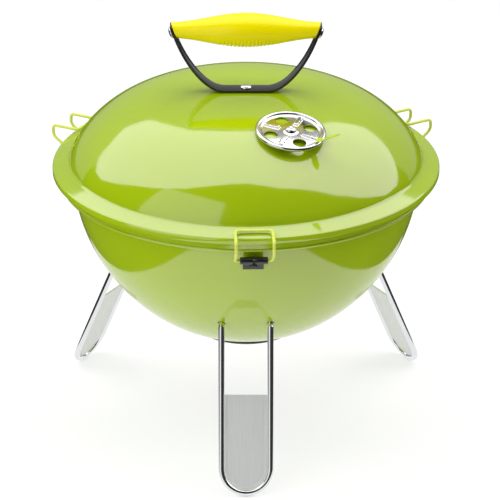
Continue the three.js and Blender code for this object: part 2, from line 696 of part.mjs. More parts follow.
function makeVentDisc(frame) {
  const rim = 2.4; // half the height of the rolled rim
  const top = VENT_LIFT + SHEET;
  const profile = [
    [0, VENT_LIFT],
    [VENT_RADIUS - 4, VENT_LIFT],
    [VENT_RADIUS - 2.4, VENT_LIFT - 1],
    [VENT_RADIUS - 0.6, VENT_LIFT - 0.7],
    [VENT_RADIUS, VENT_LIFT + 0.6],
    [VENT_RADIUS - 0.4, VENT_LIFT + rim],
    [VENT_RADIUS - 1.8, VENT_LIFT + rim + 0.6],
    [VENT_RADIUS - 3.4, VENT_LIFT + rim],
    [VENT_RADIUS - 4.6, top],
    [0, top],
  ];
  const disc = turned(profile, 28);
  const ribs = Array.from({ length: VENT_HOLES }, (_, i) => {
    const rib = new THREE.BoxGeometry(VENT_RIB.length, VENT_RIB.width, VENT_RIB.height);
    rib.translate(VENT_HOLE_CIRCLE - 1, 0, top + 0.4);
    return rib.rotateZ(VENT_OPEN_PHASE + i * 2 * Math.PI / VENT_HOLES);
  });
  const tools = ventHoleTools(VENT_SHUT_PHASE, new THREE.Group());
  tools.push(cylinder(SCREW_SHANK + HOLE_ROOM, THROUGH));
  return cut(joined([disc, ...ribs]), tools).applyMatrix4(frame.matrixWorld);
}

// The finger tab rises from the disc's rim and runs outwards over the dome.
function makeVentTab(frame) {
  const startR = VENT_RADIUS - VENT_TAB.inside;
  const startZ = VENT_LIFT + VENT_TAB.rise;
  const bendZ = startZ + 0.4;
  const endR = VENT_RADIUS + VENT_TAB.outside;
  const endZ = startZ + (endR - startR - 6) * Math.tan(VENT_TAB_SLOPE);
  const outline = [
    [startR, startZ],
    [VENT_RADIUS + 0.5, bendZ],
    [endR, endZ],
    [endR - 1, endZ + VENT_TAB.thick],
    [VENT_RADIUS - 0.6, bendZ + VENT_TAB.thick],
    [startR, startZ + VENT_TAB.thick],
  ];
  const shape = new THREE.Shape(outline.map(([r, z]) => new THREE.Vector2(r, z)));
  const tab = plate(shape, 2 * VENT_TAB.half).rotateX(Math.PI / 2).rotateZ(VENT_TAB_AZIMUTH);
  return tab.applyMatrix4(frame.matrixWorld);
}

// The rivet's profile is [radius, height] with its head standing on z = 0 and its clinched end below.
const VENT_RIVET = [
  [0, -7.6],
  [3.8, -7.6],
  [3.8, -5.6],
  [SCREW_SHANK, -5.6],
  [SCREW_SHANK, 0],
  [5, 0],
  [4.6, 1.4],
  [3, 2.4],
  [0, 2.8],
];

function makeLidVent(frame) {
  add('lid_vent_disc', makeVentDisc(frame), chrome);
  add('lid_vent_tab', makeVentTab(frame), limeTab);
  const washer = hexNut(VENT_WASHER.corners, SCREW_SHANK + NUT_ROOM + 0.1, VENT_WASHER.thick);
  washer.translate(0, 0, VENT_LIFT - 2.5 * GAP);
  add('lid_vent_washer', washer.applyMatrix4(frame.matrixWorld), chrome);
  const rivet = turned(VENT_RIVET, SMALL_ROUND).translate(0, 0, VENT_LIFT + SHEET + GAP);
  add('lid_vent_rivet', rivet.applyMatrix4(frame.matrixWorld), chrome);
}

// ---------------------------------------------------------------- handle

const strapZ = lidTop + GAP + STRAP_THICK / 2;

const strapAlong = new THREE.Vector2(Math.cos(STRAP_TIP_SLOPE), Math.sin(STRAP_TIP_SLOPE));
const strapOut = new THREE.Vector2(strapAlong.y, -strapAlong.x);

// The middle line of the strap from its flat base to one tip, as (x, z) with x outwards.
function strapLine() {
  const base = new THREE.Vector2(STRAP_BASE_HALF, strapZ);
  const tip = new THREE.Vector2(STRAP_TIP.x, STRAP_TIP.z);
  const bendEnd = tip.clone().addScaledVector(strapAlong, -STRAP_CURVE.straight);
  const curve = new THREE.CubicBezierCurve(
    base,
    base.clone().add(new THREE.Vector2(STRAP_CURVE.base, 0)),
    bendEnd.clone().addScaledVector(strapAlong, -STRAP_CURVE.tip),
    bendEnd,
  );
  return [...curve.getPoints(8), tip];
}

function makeStrap() {
  const half = strapLine();
  const line = [...half.map((p) => new THREE.Vector2(-p.x, p.y)).reverse(), ...half];
  const normals = line.map((p, i) => {
    const before = line[Math.max(i - 1, 0)];
    const after = line[Math.min(i + 1, line.length - 1)];
    const along = after.clone().sub(before).normalize();
    return new THREE.Vector2(-along.y, along.x);
  });
  const reach = STRAP_THICK / 2;
  const side = (sign) => line.map((p, i) => p.clone().addScaledVector(normals[i], sign * reach));
  const shape = new THREE.Shape([...side(-1), ...side(1).reverse()]);
  const strip = plate(shape, STRAP_WIDTH).rotateX(Math.PI / 2);
  const tools = [cylinder(BOLT_RADIUS + BOLT_HOLE_ROOM, 2 * SHORT_TOOL).translate(0, 0, strapZ)];
  for (const sign of [-1, 1]) {
    tools.push(placeAtTip(cylinder(SCREW_SHANK + HOLE_ROOM, 2 * SHORT_TOOL), sign, 0));
  }
  return cut(strip, tools);
}

// Puts a shape made about +Z at a grip end, with +Z pointing out of the grip square to the strap.
function placeAtTip(geometry, sign, distance) {
  const middle = new THREE.Vector2(STRAP_TIP.x, STRAP_TIP.z);
  middle.addScaledVector(strapAlong, -STRAP_SCREW_DOWN).addScaledVector(strapOut, distance);
  const turn = Math.atan2(strapOut.x, strapOut.y);
  return geometry.rotateY(sign * turn).translate(sign * middle.x, 0, middle.y);
}

// The grip's radius at a distance from its middle, where it swells.
function gripRadius(x) {
  return GRIP.neck + GRIP.swell * Math.cos(Math.PI * x / (2 * GRIP.run)) ** GRIP.power;
}

function makeGrip() {
  const steps = 16;
  const profile = [[0, -GRIP_REACH]];
  for (let i = 0; i <= steps; i += 1) {
    const x = -GRIP_REACH + 2 * GRIP_REACH * i / steps;
    profile.push([gripRadius(x), x]);
  }
  profile.push([0, GRIP_REACH]);
  const spindle = turned(profile, 18).rotateY(Math.PI / 2).translate(0, 0, GRIP_Z);
  const tools = [];
  const inset = STRAP_THICK / 2 + GAP; // from the strap's middle line to the grip's end face
  for (const sign of [-1, 1]) {
    const block = new THREE.BoxGeometry(THROUGH, THROUGH, THROUGH);
    tools.push(placeAtTip(block, sign, THROUGH / 2 - inset));
    tools.push(placeAtTip(cylinder(SCREW_SHANK + HOLE_ROOM, THROUGH / 2), sign, 0));
  }
  return cut(spindle, tools);
}

function makeHandle() {
  add('handle_strap', makeStrap(), blackSteel);
  add('handle_grip', makeGrip(), yellowPlastic);
  const bolt = domedPin(BOLT.head, BOLT.height, BOLT_RADIUS, BOLT.length);
  add('handle_bolt', bolt.translate(0, 0, strapZ + STRAP_THICK / 2 + GAP), chrome);
  const nut = hexNut(BOLT_NUT.corners, BOLT_RADIUS + NUT_ROOM, BOLT_NUT.thick);
  const nutZ = lidTop - SHEET - GAP - BOLT_NUT.thick / 2;
  add('handle_nut', nut.translate(0, 0, nutZ - 0.1), chrome);
  for (const [side, sign] of [['left', -1], ['right', 1]]) {
    const screw = domedPin(SCREW.head, SCREW.height, SCREW_SHANK, SCREW.length);
    add(`handle_screw_${side}`, placeAtTip(screw, sign, STRAP_THICK / 2 + GAP), chrome);
  }
}

// ---------------------------------------------------------------- assembly

function makeLid() {
  const frame = ventFrame();
  add('lid_shell', makeLidShell(frame), limeEnamel);
  makeLidVent(frame);
  makeHandle();
}

add('fire_bowl', makeBowl(), limeEnamel);
makeBottomVent();
makeLegs();
makeClamps();
makeGrates();
makeLid();

export default grill;
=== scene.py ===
"""A portable kettle charcoal grill: fine meshes, materials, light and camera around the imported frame.

Shapes are worked out in millimetres in the frame's own axes (+Z up, front towards -Y, the bowl's
axis through the origin) and scaled to metres when a piece is made.
"""

import json
import math

import bmesh
import bpy
from mathutils import Matrix, Vector

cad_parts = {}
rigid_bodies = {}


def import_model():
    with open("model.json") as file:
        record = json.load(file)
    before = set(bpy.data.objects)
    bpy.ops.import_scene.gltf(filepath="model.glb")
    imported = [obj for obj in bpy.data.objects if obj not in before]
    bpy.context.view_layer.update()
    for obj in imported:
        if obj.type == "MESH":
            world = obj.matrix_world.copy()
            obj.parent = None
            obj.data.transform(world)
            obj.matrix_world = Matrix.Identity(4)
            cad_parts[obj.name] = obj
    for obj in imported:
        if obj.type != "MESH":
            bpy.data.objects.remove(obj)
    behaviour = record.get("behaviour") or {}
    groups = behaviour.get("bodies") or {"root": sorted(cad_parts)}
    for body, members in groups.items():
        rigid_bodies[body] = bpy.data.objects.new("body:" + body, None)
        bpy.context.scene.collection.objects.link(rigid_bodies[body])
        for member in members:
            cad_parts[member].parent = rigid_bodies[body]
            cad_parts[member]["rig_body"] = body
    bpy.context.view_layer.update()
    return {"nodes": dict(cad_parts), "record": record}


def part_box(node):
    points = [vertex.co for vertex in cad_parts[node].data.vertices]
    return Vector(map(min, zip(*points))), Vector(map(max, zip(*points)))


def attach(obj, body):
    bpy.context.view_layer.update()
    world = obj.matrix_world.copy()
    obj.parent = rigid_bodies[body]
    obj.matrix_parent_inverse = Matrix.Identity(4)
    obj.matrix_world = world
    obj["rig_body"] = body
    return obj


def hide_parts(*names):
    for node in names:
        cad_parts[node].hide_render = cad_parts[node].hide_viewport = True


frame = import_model()

# ---------------------------------------------------------------- sizes read from the frame

MM = 0.001


def low(node):
    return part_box(node)[0] / MM


def high(node):
    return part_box(node)[1] / MM


SHEET = 1.2  # enamelled steel
GAP = 0.3  # between pieces that touch
HEM_Z = low("lid_shell").z
RIM_Z = HEM_Z + 10  # where the lid's dome meets its flange
LID_TOP = high("lid_shell").z
FLANGE_RADIUS = high("lid_shell").x
FLANGE_SLOPE = 17  # degrees by which the flange falls outwards
FLANGE_EDGE = 2.5
BOWL_FLANGE_RADIUS = 181.5
BOWL_FLANGE_Z = high("fire_bowl").z
HEM_BEAD = (180.7, 250.6)  # middle of the rolled edge of the bowl's flange, as (r, z)
HEM_BEAD_RADIUS = 1.7

DOME_RADIUS = 173.7
DOME_HEIGHT = LID_TOP - RIM_Z
DOME_ACROSS = 3.45  # powers of the dome's superellipse
DOME_UP = 1.31
DOME_FOOT = 4.5  # fillet between dome and flange

BOWL_RADIUS = 170.6
BOWL_TOP_Z = 260.8
BOWL_DEPTH = 175.7
BOWL_POWER = 1.95
BOWL_WALL_Z = 246  # the wall turns out into the flange here

LEG_WIRE = 3
LEG_HALF_SPAN = 23.5
LEG_SLOPE = math.radians(66)
LEG_BEND = 8
FOOT_RADIUS = -low("leg_wire_front").y - LEG_WIRE
STUD_RADIUS = 131  # where the legs' studs pass through the bowl
STUD_INSIDE = 11
PLATE_TOP_Z = 89
PLATE_THICK = 1.6

CLAMP_TURN = math.radians(2.3)
PIVOT_RADIUS = 184
PIVOT_Z = 241.5
BAIL_WIRE = 1.5
BAIL_HALF_WIDTH = 17.4
BAIL_BAR_RADIUS = 182
BAIL_OUTER_RADIUS = 210.5
BAIL_TOP_Z = 271
BRACKET_HALF_WIDTH = 9.7
CURL_HALF_WIDTH = 13
BARREL_RADIUS = 3.4
RIVET_Z = 230.5
BRACKET_THICK = 1.5

BOLT_HOLE = 3.4  # radii of the holes that fasteners pass through
VENT_RIVET_HOLE = 2.5
VENT_SCREW_HOLE = 3
CLAMP_RIVET_HOLE = 2.5
END_SCREW_HOLE = 2.4

STRAP_WIDTH = 16
STRAP_THICK = 2.4
STRAP_BASE_HALF = 20.5
STRAP_Z = LID_TOP + GAP + STRAP_THICK / 2
TIP_X = 72.2
TIP_Z = 406
TIP_SLOPE = math.radians(69)
GRIP_Z = 402
GRIP_REACH = 74  # from the middle to past the ends, before they are cut square

VENT_X = 42
VENT_Y = -92
VENT_TILT = math.radians(11.5)
VENT_RADIUS = 34
VENT_HOLE_RADIUS = 6.5
VENT_HOLE_CIRCLE = 20.5
VENT_LIFT = 1.9
VENT_SHUT_PHASE = math.radians(23.5)
QUARTER = math.pi / 2

DAMPER_RADIUS = 50
DAMPER_HOLE_RADIUS = 7
DAMPER_HOLE_CIRCLE = 28

GRATE_RING_WIRE = 2.5
GRATE_ROD = 1.6
COOKING_Z = 252
GRATE_PITCH = {"cooking_grate": 15, "charcoal_grate": 18}
GRATE_BARS = {"cooking_grate": 62, "charcoal_grate": 45}

ROUND_STEPS = 192  # round the bowl and the lid
WIRE_STEPS = 20  # round a wire
PIN_STEPS = 48  # round a pin or a hole
WIRE_END = 0.3  # rounding of a wire's end, as a share of its radius
PLACES = {"front": 0, "right": 2 * math.pi / 3, "left": 4 * math.pi / 3}

# ---------------------------------------------------------------- materials


class Finish:
    """A node material, with short calls for the nodes that the finishes share."""

    def __init__(self, name, color, roughness, metallic=0.0):
        self.material = bpy.data.materials.new(name)
        self.material.use_nodes = True
        self.tree = self.material.node_tree
        self.shader = self.tree.nodes["Principled BSDF"]
        self.shader.inputs["Base Color"].default_value = (*color, 1)
        self.shader.inputs["Roughness"].default_value = roughness
        self.shader.inputs["Metallic"].default_value = metallic
        self.place = self.tree.nodes.new("ShaderNodeTexCoord").outputs["Object"]
        self.normal = None

    def node(self, kind, **inputs):
        node = self.tree.nodes.new(kind)
        for name, value in inputs.items():
            self.feed(node.inputs[name.replace("_", " ")], value)
        return node

    def feed(self, socket, value):
        if isinstance(value, bpy.types.NodeSocket):
            self.tree.links.new(value, socket)
        else:
            socket.default_value = value

    def noise(self, size, detail=2.0, stretch=(1, 1, 1)):
        """Noise whose blotches are about size metres wide."""
        place = self.node("ShaderNodeMapping", Vector=self.place, Scale=stretch)
        noise = self.node("ShaderNodeTexNoise", Vector=place.outputs["Vector"], Detail=detail)
        noise.inputs["Scale"].default_value = 1 / size
        return noise.outputs["Fac"]

    def ramp(self, value, start, end, from_value=0.0, to_value=1.0):
        """value, from start to end, becomes from_value to to_value, and stays there outside."""
        node = self.tree.nodes.new("ShaderNodeMapRange")
        self.feed(node.inputs["Value"], value)
        for name, number in (
            ("From Min", start),
            ("From Max", end),
            ("To Min", from_value),
            ("To Max", to_value),
        ):
            node.inputs[name].default_value = number
        return node.outputs["Result"]

    def mix(self, amount, first, second):
        node = self.tree.nodes.new("ShaderNodeMix")
        node.data_type = "RGBA"
        self.feed(node.inputs["Factor"], amount)
        self.feed(node.inputs["A"], first if not isinstance(first, tuple) else (*first, 1))
        self.feed(node.inputs["B"], second if not isinstance(second, tuple) else (*second, 1))
        return node.outputs["Result"]

    def color(self, value):
        self.feed(self.shader.inputs["Base Color"], value)

    def roughness(self, value):
        self.feed(self.shader.inputs["Roughness"], value)

    def bump(self, height, depth, strength=1.0):
        """Adds relief that is depth metres high."""
        node = self.node("ShaderNodeBump", Height=height, Distance=depth, Strength=strength)
        if self.normal:
            self.feed(node.inputs["Normal"], self.normal)
        self.normal = node.outputs["Normal"]
        self.feed(self.shader.inputs["Normal"], self.normal)


def tinted(color, factor):
    return tuple(min(1, channel * factor) for channel in color)


def enamel(name, color, fleck, fleck_amount):
    """Vitreous enamel: a glassy skin with slow waves, slight cloudiness and tiny flecks."""
    finish = Finish(name, color, 0.09)
    finish.shader.inputs["IOR"].default_value = 1.75
    finish.shader.inputs["Specular IOR Level"].default_value = 0.78
    finish.shader.inputs["Specular Tint"].default_value = (0.95, 0.82, 1, 1)
    cloudy = finish.mix(finish.noise(0.05, 3), tinted(color, 0.95), tinted(color, 1.05))
    flecks = finish.ramp(finish.noise(0.0007, 1), 0.74, 0.79, 0, fleck_amount)
    finish.color(finish.mix(flecks, cloudy, fleck))
    finish.roughness(finish.ramp(finish.noise(0.02, 4), 0.35, 0.7, 0.07, 0.11))
    finish.bump(finish.noise(0.022, 1), 0.0003, 0.2)
    finish.bump(finish.noise(0.0022, 2), 0.00002, 0.35)
    return finish.material


def plating(name, color, roughness, wear=0.06):
    """Bright plating: faint smudges, and fine scratches in two directions."""
    finish = Finish(name, color, roughness, 1)
    finish.color(finish.mix(finish.noise(0.03, 3), tinted(color, 0.92), tinted(color, 1.06)))
    smudges = finish.ramp(finish.noise(0.012, 4), 0.4, 0.7, roughness, roughness + wear)
    finish.roughness(smudges)
    finish.bump(finish.noise(0.003, 3, (1, 1, 0.06)), 0.00002, 0.3)
    finish.bump(finish.noise(0.0009, 2, (0.1, 1, 1)), 0.00001, 0.2)
    return finish.material


def grip_plastic():
    """Moulded heat-proof plastic with a fine leathery grain and a soft sheen."""
    color = (0.93, 0.80, 0.0)
    finish = Finish("yellow_plastic", color, 0.2)
    finish.shader.inputs["Specular Tint"].default_value = (1, 0.96, 0.6, 1)
    finish.color(finish.mix(finish.noise(0.03, 3), tinted(color, 0.95), tinted(color, 1.05)))
    finish.roughness(finish.ramp(finish.noise(0.004, 4), 0.3, 0.7, 0.16, 0.26))
    finish.bump(finish.noise(0.0006, 2), 0.00004, 0.5)
    finish.shader.inputs["Subsurface Weight"].default_value = 0.08
    finish.shader.inputs["Subsurface Radius"].default_value = (0.004, 0.003, 0.0004)
    return finish.material


def powder_coat(name, color):
    """Powder-coated wire: slightly uneven colour and an orange-peel skin."""
    finish = Finish(name, color, 0.28)
    finish.color(finish.mix(finish.noise(0.008, 3), tinted(color, 0.9), tinted(color, 1.08)))
    finish.roughness(finish.ramp(finish.noise(0.003, 3), 0.3, 0.7, 0.22, 0.38))
    finish.bump(finish.noise(0.0012, 2), 0.00005, 0.5)
    return finish.material


def black_steel():
    """Satin black paint on pressed steel, with random speckles of painted highlight a little brighter
    than the paint.
    """
    color = (0.012, 0.012, 0.014)
    finish = Finish("black_steel", color, 0.18)
    finish.shader.inputs["IOR"].default_value = 1.65
    # random speckles painted a little brighter stand in for glints of highlight
    painted_glint_speckles = finish.ramp(finish.noise(0.006, 5), 0.58, 0.75, 0, 0.5)
    finish.color(finish.mix(painted_glint_speckles, color, (0.03, 0.03, 0.034)))
    finish.roughness(finish.ramp(finish.noise(0.005, 4), 0.3, 0.7, 0.12, 0.26))
    finish.bump(finish.noise(0.0011, 2), 0.00004, 0.5)
    return finish.material


def grey_plate():
    """Lacquered grey sheet with a fine upright brushing under the lacquer."""
    color = (0.74, 0.76, 0.74)
    finish = Finish("grey_plate", color, 0.38, 0.15)
    brushed = finish.noise(0.0011, 3, (1, 0.05, 0.03))
    finish.color(finish.mix(brushed, tinted(color, 0.9), tinted(color, 1.08)))
    finish.roughness(finish.ramp(finish.noise(0.008, 4), 0.3, 0.7, 0.32, 0.45))
    finish.bump(brushed, 0.00002, 0.4)
    return finish.material


LIME = (0.37, 0.525, 0.002)
LOOKS = {
    "lime_enamel": enamel("lime_enamel", LIME, (0.25, 0.38, 0.003), 0.25),
    "yellow_plastic": grip_plastic(),
    "yellow_wire": powder_coat("yellow_wire", (0.70, 0.78, 0.12)),
    "lime_tab": powder_coat("lime_tab", (0.50, 0.66, 0.01)),
    "black_steel": black_steel(),
    "chrome": plating("chrome", (0.80, 0.81, 0.82), 0.06),
    "vent_chrome": plating("vent_chrome", (0.72, 0.72, 0.71), 0.1, 0.05),
    "grate_chrome": plating("grate_chrome", (0.66, 0.66, 0.67), 0.14, 0.12),
    "grey_plate": grey_plate(),
}
BLACK_ENAMEL = enamel("black_enamel", (0.011, 0.011, 0.012), (0.22, 0.22, 0.22), 0.6)

# ---------------------------------------------------------------- making pieces

SLOTS = {part["node"]: part["material_slot"] for part in frame["record"]["subparts"]}


def piece(node, bm, more=(), smooth_angle=35, turn=0.0):
    """Makes bm the fine mesh that stands for a CAD node, riding on the node's body."""
    mesh = bpy.data.meshes.new(node + "_fine")
    spun(bm, turn)
    bmesh.ops.scale(bm, vec=(MM, MM, MM), verts=bm.verts)
    bmesh.ops.recalc_face_normals(bm, faces=bm.faces)
    bm.to_mesh(mesh)
    bm.free()
    mesh.polygons.foreach_set("use_smooth", [True] * len(mesh.polygons))
    mesh.set_sharp_from_angle(angle=math.radians(smooth_angle))
    made = bpy.data.objects.new(mesh.name, mesh)
    bpy.context.scene.collection.objects.link(made)
    for look in (LOOKS[SLOTS[node]], *more):
        mesh.materials.append(look)
    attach(made, frame["nodes"][node]["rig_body"])
    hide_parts(node)


def skin(rings, closed_rings=True, closed_ends=False):
    """A closed mesh through rings of points, each ring with as many points or a single one."""
    bm = bmesh.new()
    rows = [[bm.verts.new(point) for point in ring] for ring in rings]
    pairs = list(zip(rows, rows[1:]))
    if closed_ends:
        pairs.append((rows[-1], rows[0]))
    for one, two in pairs:
        count = max(len(one), len(two))
        for i in range(count if closed_rings else count - 1):
            j = (i + 1) % count
            corners = [one[i % len(one)], one[j % len(one)], two[j % len(two)], two[i % len(two)]]
            bm.faces.new(list(dict.fromkeys(corners)))
    if not closed_ends:
        for row in (rows[0], rows[-1]):
            if len(row) > 2:
                bm.faces.new(row)
    return bm


def turned(outline, steps=ROUND_STEPS, axis_ends=False, second_from=None):
    """Turns an outline of (radius, height) about +Z. Faces from row second_from on get look 1."""
    rings = []
    for radius, height in outline:
        count = 1 if radius < 1e-6 else steps
        angles = [2 * math.pi * i / steps for i in range(count)]
        rings.append([(radius * math.cos(a), radius * math.sin(a), height) for a in angles])
    bm = skin(rings, closed_ends=not axis_ends)
    if second_from is not None:
        bm.faces.ensure_lookup_table()
        for i, face in enumerate(bm.faces):
            face.material_index = int(i // steps >= second_from)
    return bm


def arc(centre, radius, start, end, count):
    """Points round a centre, from one angle in degrees to another."""
    angles = [math.radians(start + (end - start) * i / count) for i in range(count + 1)]
    return [(centre[0] + radius * math.cos(a), centre[1] + radius * math.sin(a)) for a in angles]


def rounded(corners, steps=6):
    """A path of 2-D or 3-D points, where a corner given as (point, radius) becomes an arc."""
    points = [Vector(c[0]) if isinstance(c[0], (tuple, Vector)) else Vector(c) for c in corners]
    radii = [c[1] if isinstance(c[0], (tuple, Vector)) else 0 for c in corners]
    path = []
    for i, (corner, radius) in enumerate(zip(points, radii)):
        if not radius:
            path.append(corner)
            continue
        comes = (corner - points[i - 1]).normalized()
        goes = (points[(i + 1) % len(points)] - corner).normalized()
        turn = math.acos(max(-1, min(1, comes.dot(goes))))
        side = (goes - comes * comes.dot(goes)).normalized()
        centre = corner - comes * radius * math.tan(turn / 2) + side * radius
        for k in range(steps + 1):
            angle = turn * k / steps
            path.append(centre + (comes * math.sin(angle) - side * math.cos(angle)) * radius)
    return path


def sheet_outline(line, thickness, ends=(True, True)):
    """The outline of bent sheet about a 2-D middle line, and how many points its first side has.

    The first side lies to the left of the line. An end on an axis of turning isn't rounded."""
    line = [Vector(point) for point in line]
    left, right = [], []
    for i, point in enumerate(line):
        before = (point - line[i - 1]).normalized() if i else None
        after = (line[i + 1] - point).normalized() if i < len(line) - 1 else None
        along = ((before or after) + (after or before)).normalized()
        normal = Vector((-along.y, along.x))
        reach = thickness / 2 / max(0.5, along.dot(before or after))
        left.append(point + normal * reach)
        right.append(point - normal * reach)
    if not ends[0]:
        left[0].x = right[0].x = 0

    outline = list(left)
    if ends[1]:
        outline += round_end(left[-1], right[-1], line[-1] - line[-2])
    first_side = len(outline)
    outline += list(reversed(right))
    if ends[0]:
        outline += round_end(right[0], left[0], line[0] - line[1])
    return [tuple(point) for point in outline], first_side


def round_end(start, end, out, steps=4):
    """Points of a half circle between the two sides of a sheet's end, without its two ends."""
    middle = (start + end) / 2
    half = (start - end) / 2
    out = out.normalized() * half.length
    angles = [math.pi * i / steps for i in range(1, steps)]
    return [middle + half * math.cos(a) + out * math.sin(a) for a in angles]


def swept(path, section, closed=False, upright=None):
    """Sweeps a section along a path of 3-D points. section(i, distance) gives (side, up) pairs.

    Without upright, the section is carried along with no twist."""
    path = [Vector(point) for point in path]
    rings = []
    count = len(path)
    distance = 0
    side = None
    for i, point in enumerate(path):
        if closed:
            before, after = path[i - 1], path[(i + 1) % count]
        else:
            before, after = path[max(i - 1, 0)], path[min(i + 1, count - 1)]
        back = (point - before).normalized()
        on = (after - point).normalized()
        along = (back + on).normalized()
        if upright is not None:
            side = Vector(upright).cross(along).normalized()
        elif side is None:
            side = along.orthogonal().normalized()
        else:
            side = (side - along * side.dot(along)).normalized()
        up = along.cross(side)
        if i:
            distance += (point - path[i - 1]).length
        rings.append([point + side * a + up * b for a, b in section(i, distance)])
    return skin(rings, closed_ends=closed)


def path_length(path):
    return sum((b - a).length for a, b in zip(path, path[1:]))


def wire(path, radius, closed=False, thread=(), steps=WIRE_STEPS):
    """A round wire with softly rounded ends. thread lists (from, to, pitch, depth) along it."""
    path = [Vector(point) for point in path]
    total = path_length(path)
    edge = radius * WIRE_END

    def section(i, distance):
        nearest = max(0, min(distance, total - distance))
        trim = 0
        if nearest < edge and not closed:
            trim = edge - math.sqrt(edge**2 - (edge - nearest) ** 2)
        ring = []
        for k in range(steps):
            share = k / steps
            size = radius - trim
            for start, end, pitch, depth in thread:
                if start <= distance <= end:
                    place = (distance / pitch - share) % 1
                    size -= depth * (1 - abs(2 * place - 1))
            ring.append(on_circle(size, share, 0)[:2])
        return ring

    if not closed:
        path = with_end_steps(path, edge)
    return swept(path, section, closed)


def with_end_steps(path, reach, count=3):
    """Adds points near both ends, so that an end can be rounded."""
    first = (path[1] - path[0]).normalized()
    last = (path[-2] - path[-1]).normalized()
    near = [reach * (1 - math.cos(QUARTER * i / count)) for i in range(1, count + 1)]
    start = [path[0] + first * d for d in near]
    end = [path[-1] + last * d for d in reversed(near)]
    return [path[0], *start, *path[1:-1], *end, path[-1]]


def finer(path, step):
    """Adds points so that no stretch of the path is longer than step."""
    result = [path[0]]
    for a, b in zip(path, path[1:]):
        count = max(1, math.ceil((b - a).length / step))
        result += [a.lerp(b, k / count) for k in range(1, count + 1)]
    return result


def flat(outline, thickness):
    """A flat plate in the XY plane, centred on z = 0."""
    half = thickness / 2
    return skin([[(x, y, z) for x, y in outline] for z in (-half, half)])


def block(width, depth, height):
    """A box about the origin."""
    x, y = width / 2, depth / 2
    return flat([(-x, -y), (x, -y), (x, y), (-x, y)], height)


def pin(head_radius, head_height, shank_radius, shank_length, thread=None):
    """A domed head with its shank below it. z = 0 is the head's underside."""
    tip = 0.4
    plain = 0.8  # stretch below the head that has no thread
    chamfer = 0.25
    side = 0.5  # upright side of the head
    outline = [(0, -shank_length), (shank_radius - tip, -shank_length)]
    if thread:
        pitch, depth = thread
        z = -shank_length + tip
        while z < -plain - tip:
            outline += [(shank_radius - depth, z), (shank_radius, z + pitch / 2)]
            z += pitch
    outline += [(shank_radius, -plain), (shank_radius, 0)]
    outline += [(head_radius - chamfer, 0), (head_radius, chamfer), (head_radius, side)]
    dome = arc((0, 0), 1, 0, 90, 10)[1:-1]
    outline += [(head_radius * x, side + (head_height - side) * y) for x, y in dome]
    outline.append((0, head_height))
    return turned(outline, PIN_STEPS, axis_ends=True)


def nut(across_corners, bore, thickness):
    """A hexagon nut with turned chamfers and a threaded bore, centred on z = 0."""
    half = thickness / 2
    flat_radius = across_corners / 2 * math.cos(math.pi / 6)
    steps = 72
    lip = 0.5
    pitch = 1.0
    thread_depth = 0.35

    def ring_at(radius, z):
        return [on_circle(radius, k / steps, z) for k in range(steps)]

    rings = [ring_at(bore + lip, -half), ring_at(flat_radius, -half)]
    for z in (-half, half):
        ring = []
        for k in range(steps):
            angle = 2 * math.pi * k / steps
            off = (angle + math.pi / 6) % (math.pi / 3) - math.pi / 6
            hexagon = flat_radius / math.cos(off)
            chamfer = (hexagon - flat_radius) * math.tan(math.radians(30))
            ring.append(on_circle(hexagon, k / steps, z - math.copysign(chamfer + 0.02, z)))
        rings.append(ring)
    rings += [ring_at(flat_radius, half), ring_at(bore + lip, half)]
    z = half - lip
    while z > -half + lip:
        rings += [ring_at(bore, z), ring_at(bore + thread_depth, z - pitch / 2)]
        z -= pitch
    return skin(rings, closed_ends=True)


def on_circle(radius, share, z):
    angle = 2 * math.pi * share
    return (radius * math.cos(angle), radius * math.sin(angle), z)


def moved(bm, matrix):
    bmesh.ops.transform(bm, matrix=matrix, verts=bm.verts)
    return bm


def placed(bm, x, y, z):
    return moved(bm, Matrix.Translation((x, y, z)))


def spun(bm, angle):
    """Turns a shape about the bowl's axis."""
    return moved(bm, Matrix.Rotation(angle, 4, "Z"))


def laid(bm):
    """Lays a shape down, so that what pointed to +Z points to the front."""
    return moved(bm, Matrix.Rotation(QUARTER, 4, "X"))


def together(meshes):
    """One bmesh that holds several."""
    whole = bmesh.new()
    for bm in meshes:
        mesh = bpy.data.meshes.new("part")
        bm.to_mesh(mesh)
        bm.free()
        whole.from_mesh(mesh)
        bpy.data.meshes.remove(mesh)
    return whole


def rod(radius, length):
    """A plain round bar along +Z about the origin, for cutting holes."""
    return flat([on_circle(radius, k / PIN_STEPS, 0)[:2] for k in range(PIN_STEPS)], length)


def four_holes(radius, circle, phase, z=0):
    """Tools for four holes on a circle, a quarter turn apart."""
    shares = [phase / (2 * math.pi) + i / 4 for i in range(4)]
    return [placed(rod(radius, 60), *on_circle(circle, share, z)) for share in shares]


def with_modifiers(bm, build):
    """Applies the modifiers that build adds to an object made from bm, and returns a new bmesh."""
    bmesh.ops.recalc_face_normals(bm, faces=bm.faces)
    mesh = bpy.data.meshes.new("work")
    bm.to_mesh(mesh)
    bm.free()
    work = bpy.data.objects.new("work", mesh)
    bpy.context.scene.collection.objects.link(work)
    extra = build(work)
    bpy.context.view_layer.update()
    depsgraph = bpy.context.evaluated_depsgraph_get()
    result = bmesh.new()
    result.from_object(work, depsgraph)
    for used in (work, extra):
        if used is not None:
            old = used.data
            bpy.data.objects.remove(used)
            bpy.data.meshes.remove(old)
    return result


def cut(bm, tools):
    """Cuts closed tools out of a closed mesh."""

    def build(work):
        whole = together(tools)
        bmesh.ops.recalc_face_normals(whole, faces=whole.faces)
        mesh = bpy.data.meshes.new("tools")
        whole.to_mesh(mesh)
        whole.free()
        cutter = bpy.data.objects.new("tools", mesh)
        bpy.context.scene.collection.objects.link(cutter)
        cutter.hide_render = True
        modifier = work.modifiers.new("cut", "BOOLEAN")
        modifier.operation = "DIFFERENCE"
        modifier.object = cutter
        modifier.solver = "EXACT"
        return cutter

    return with_modifiers(bm, build)


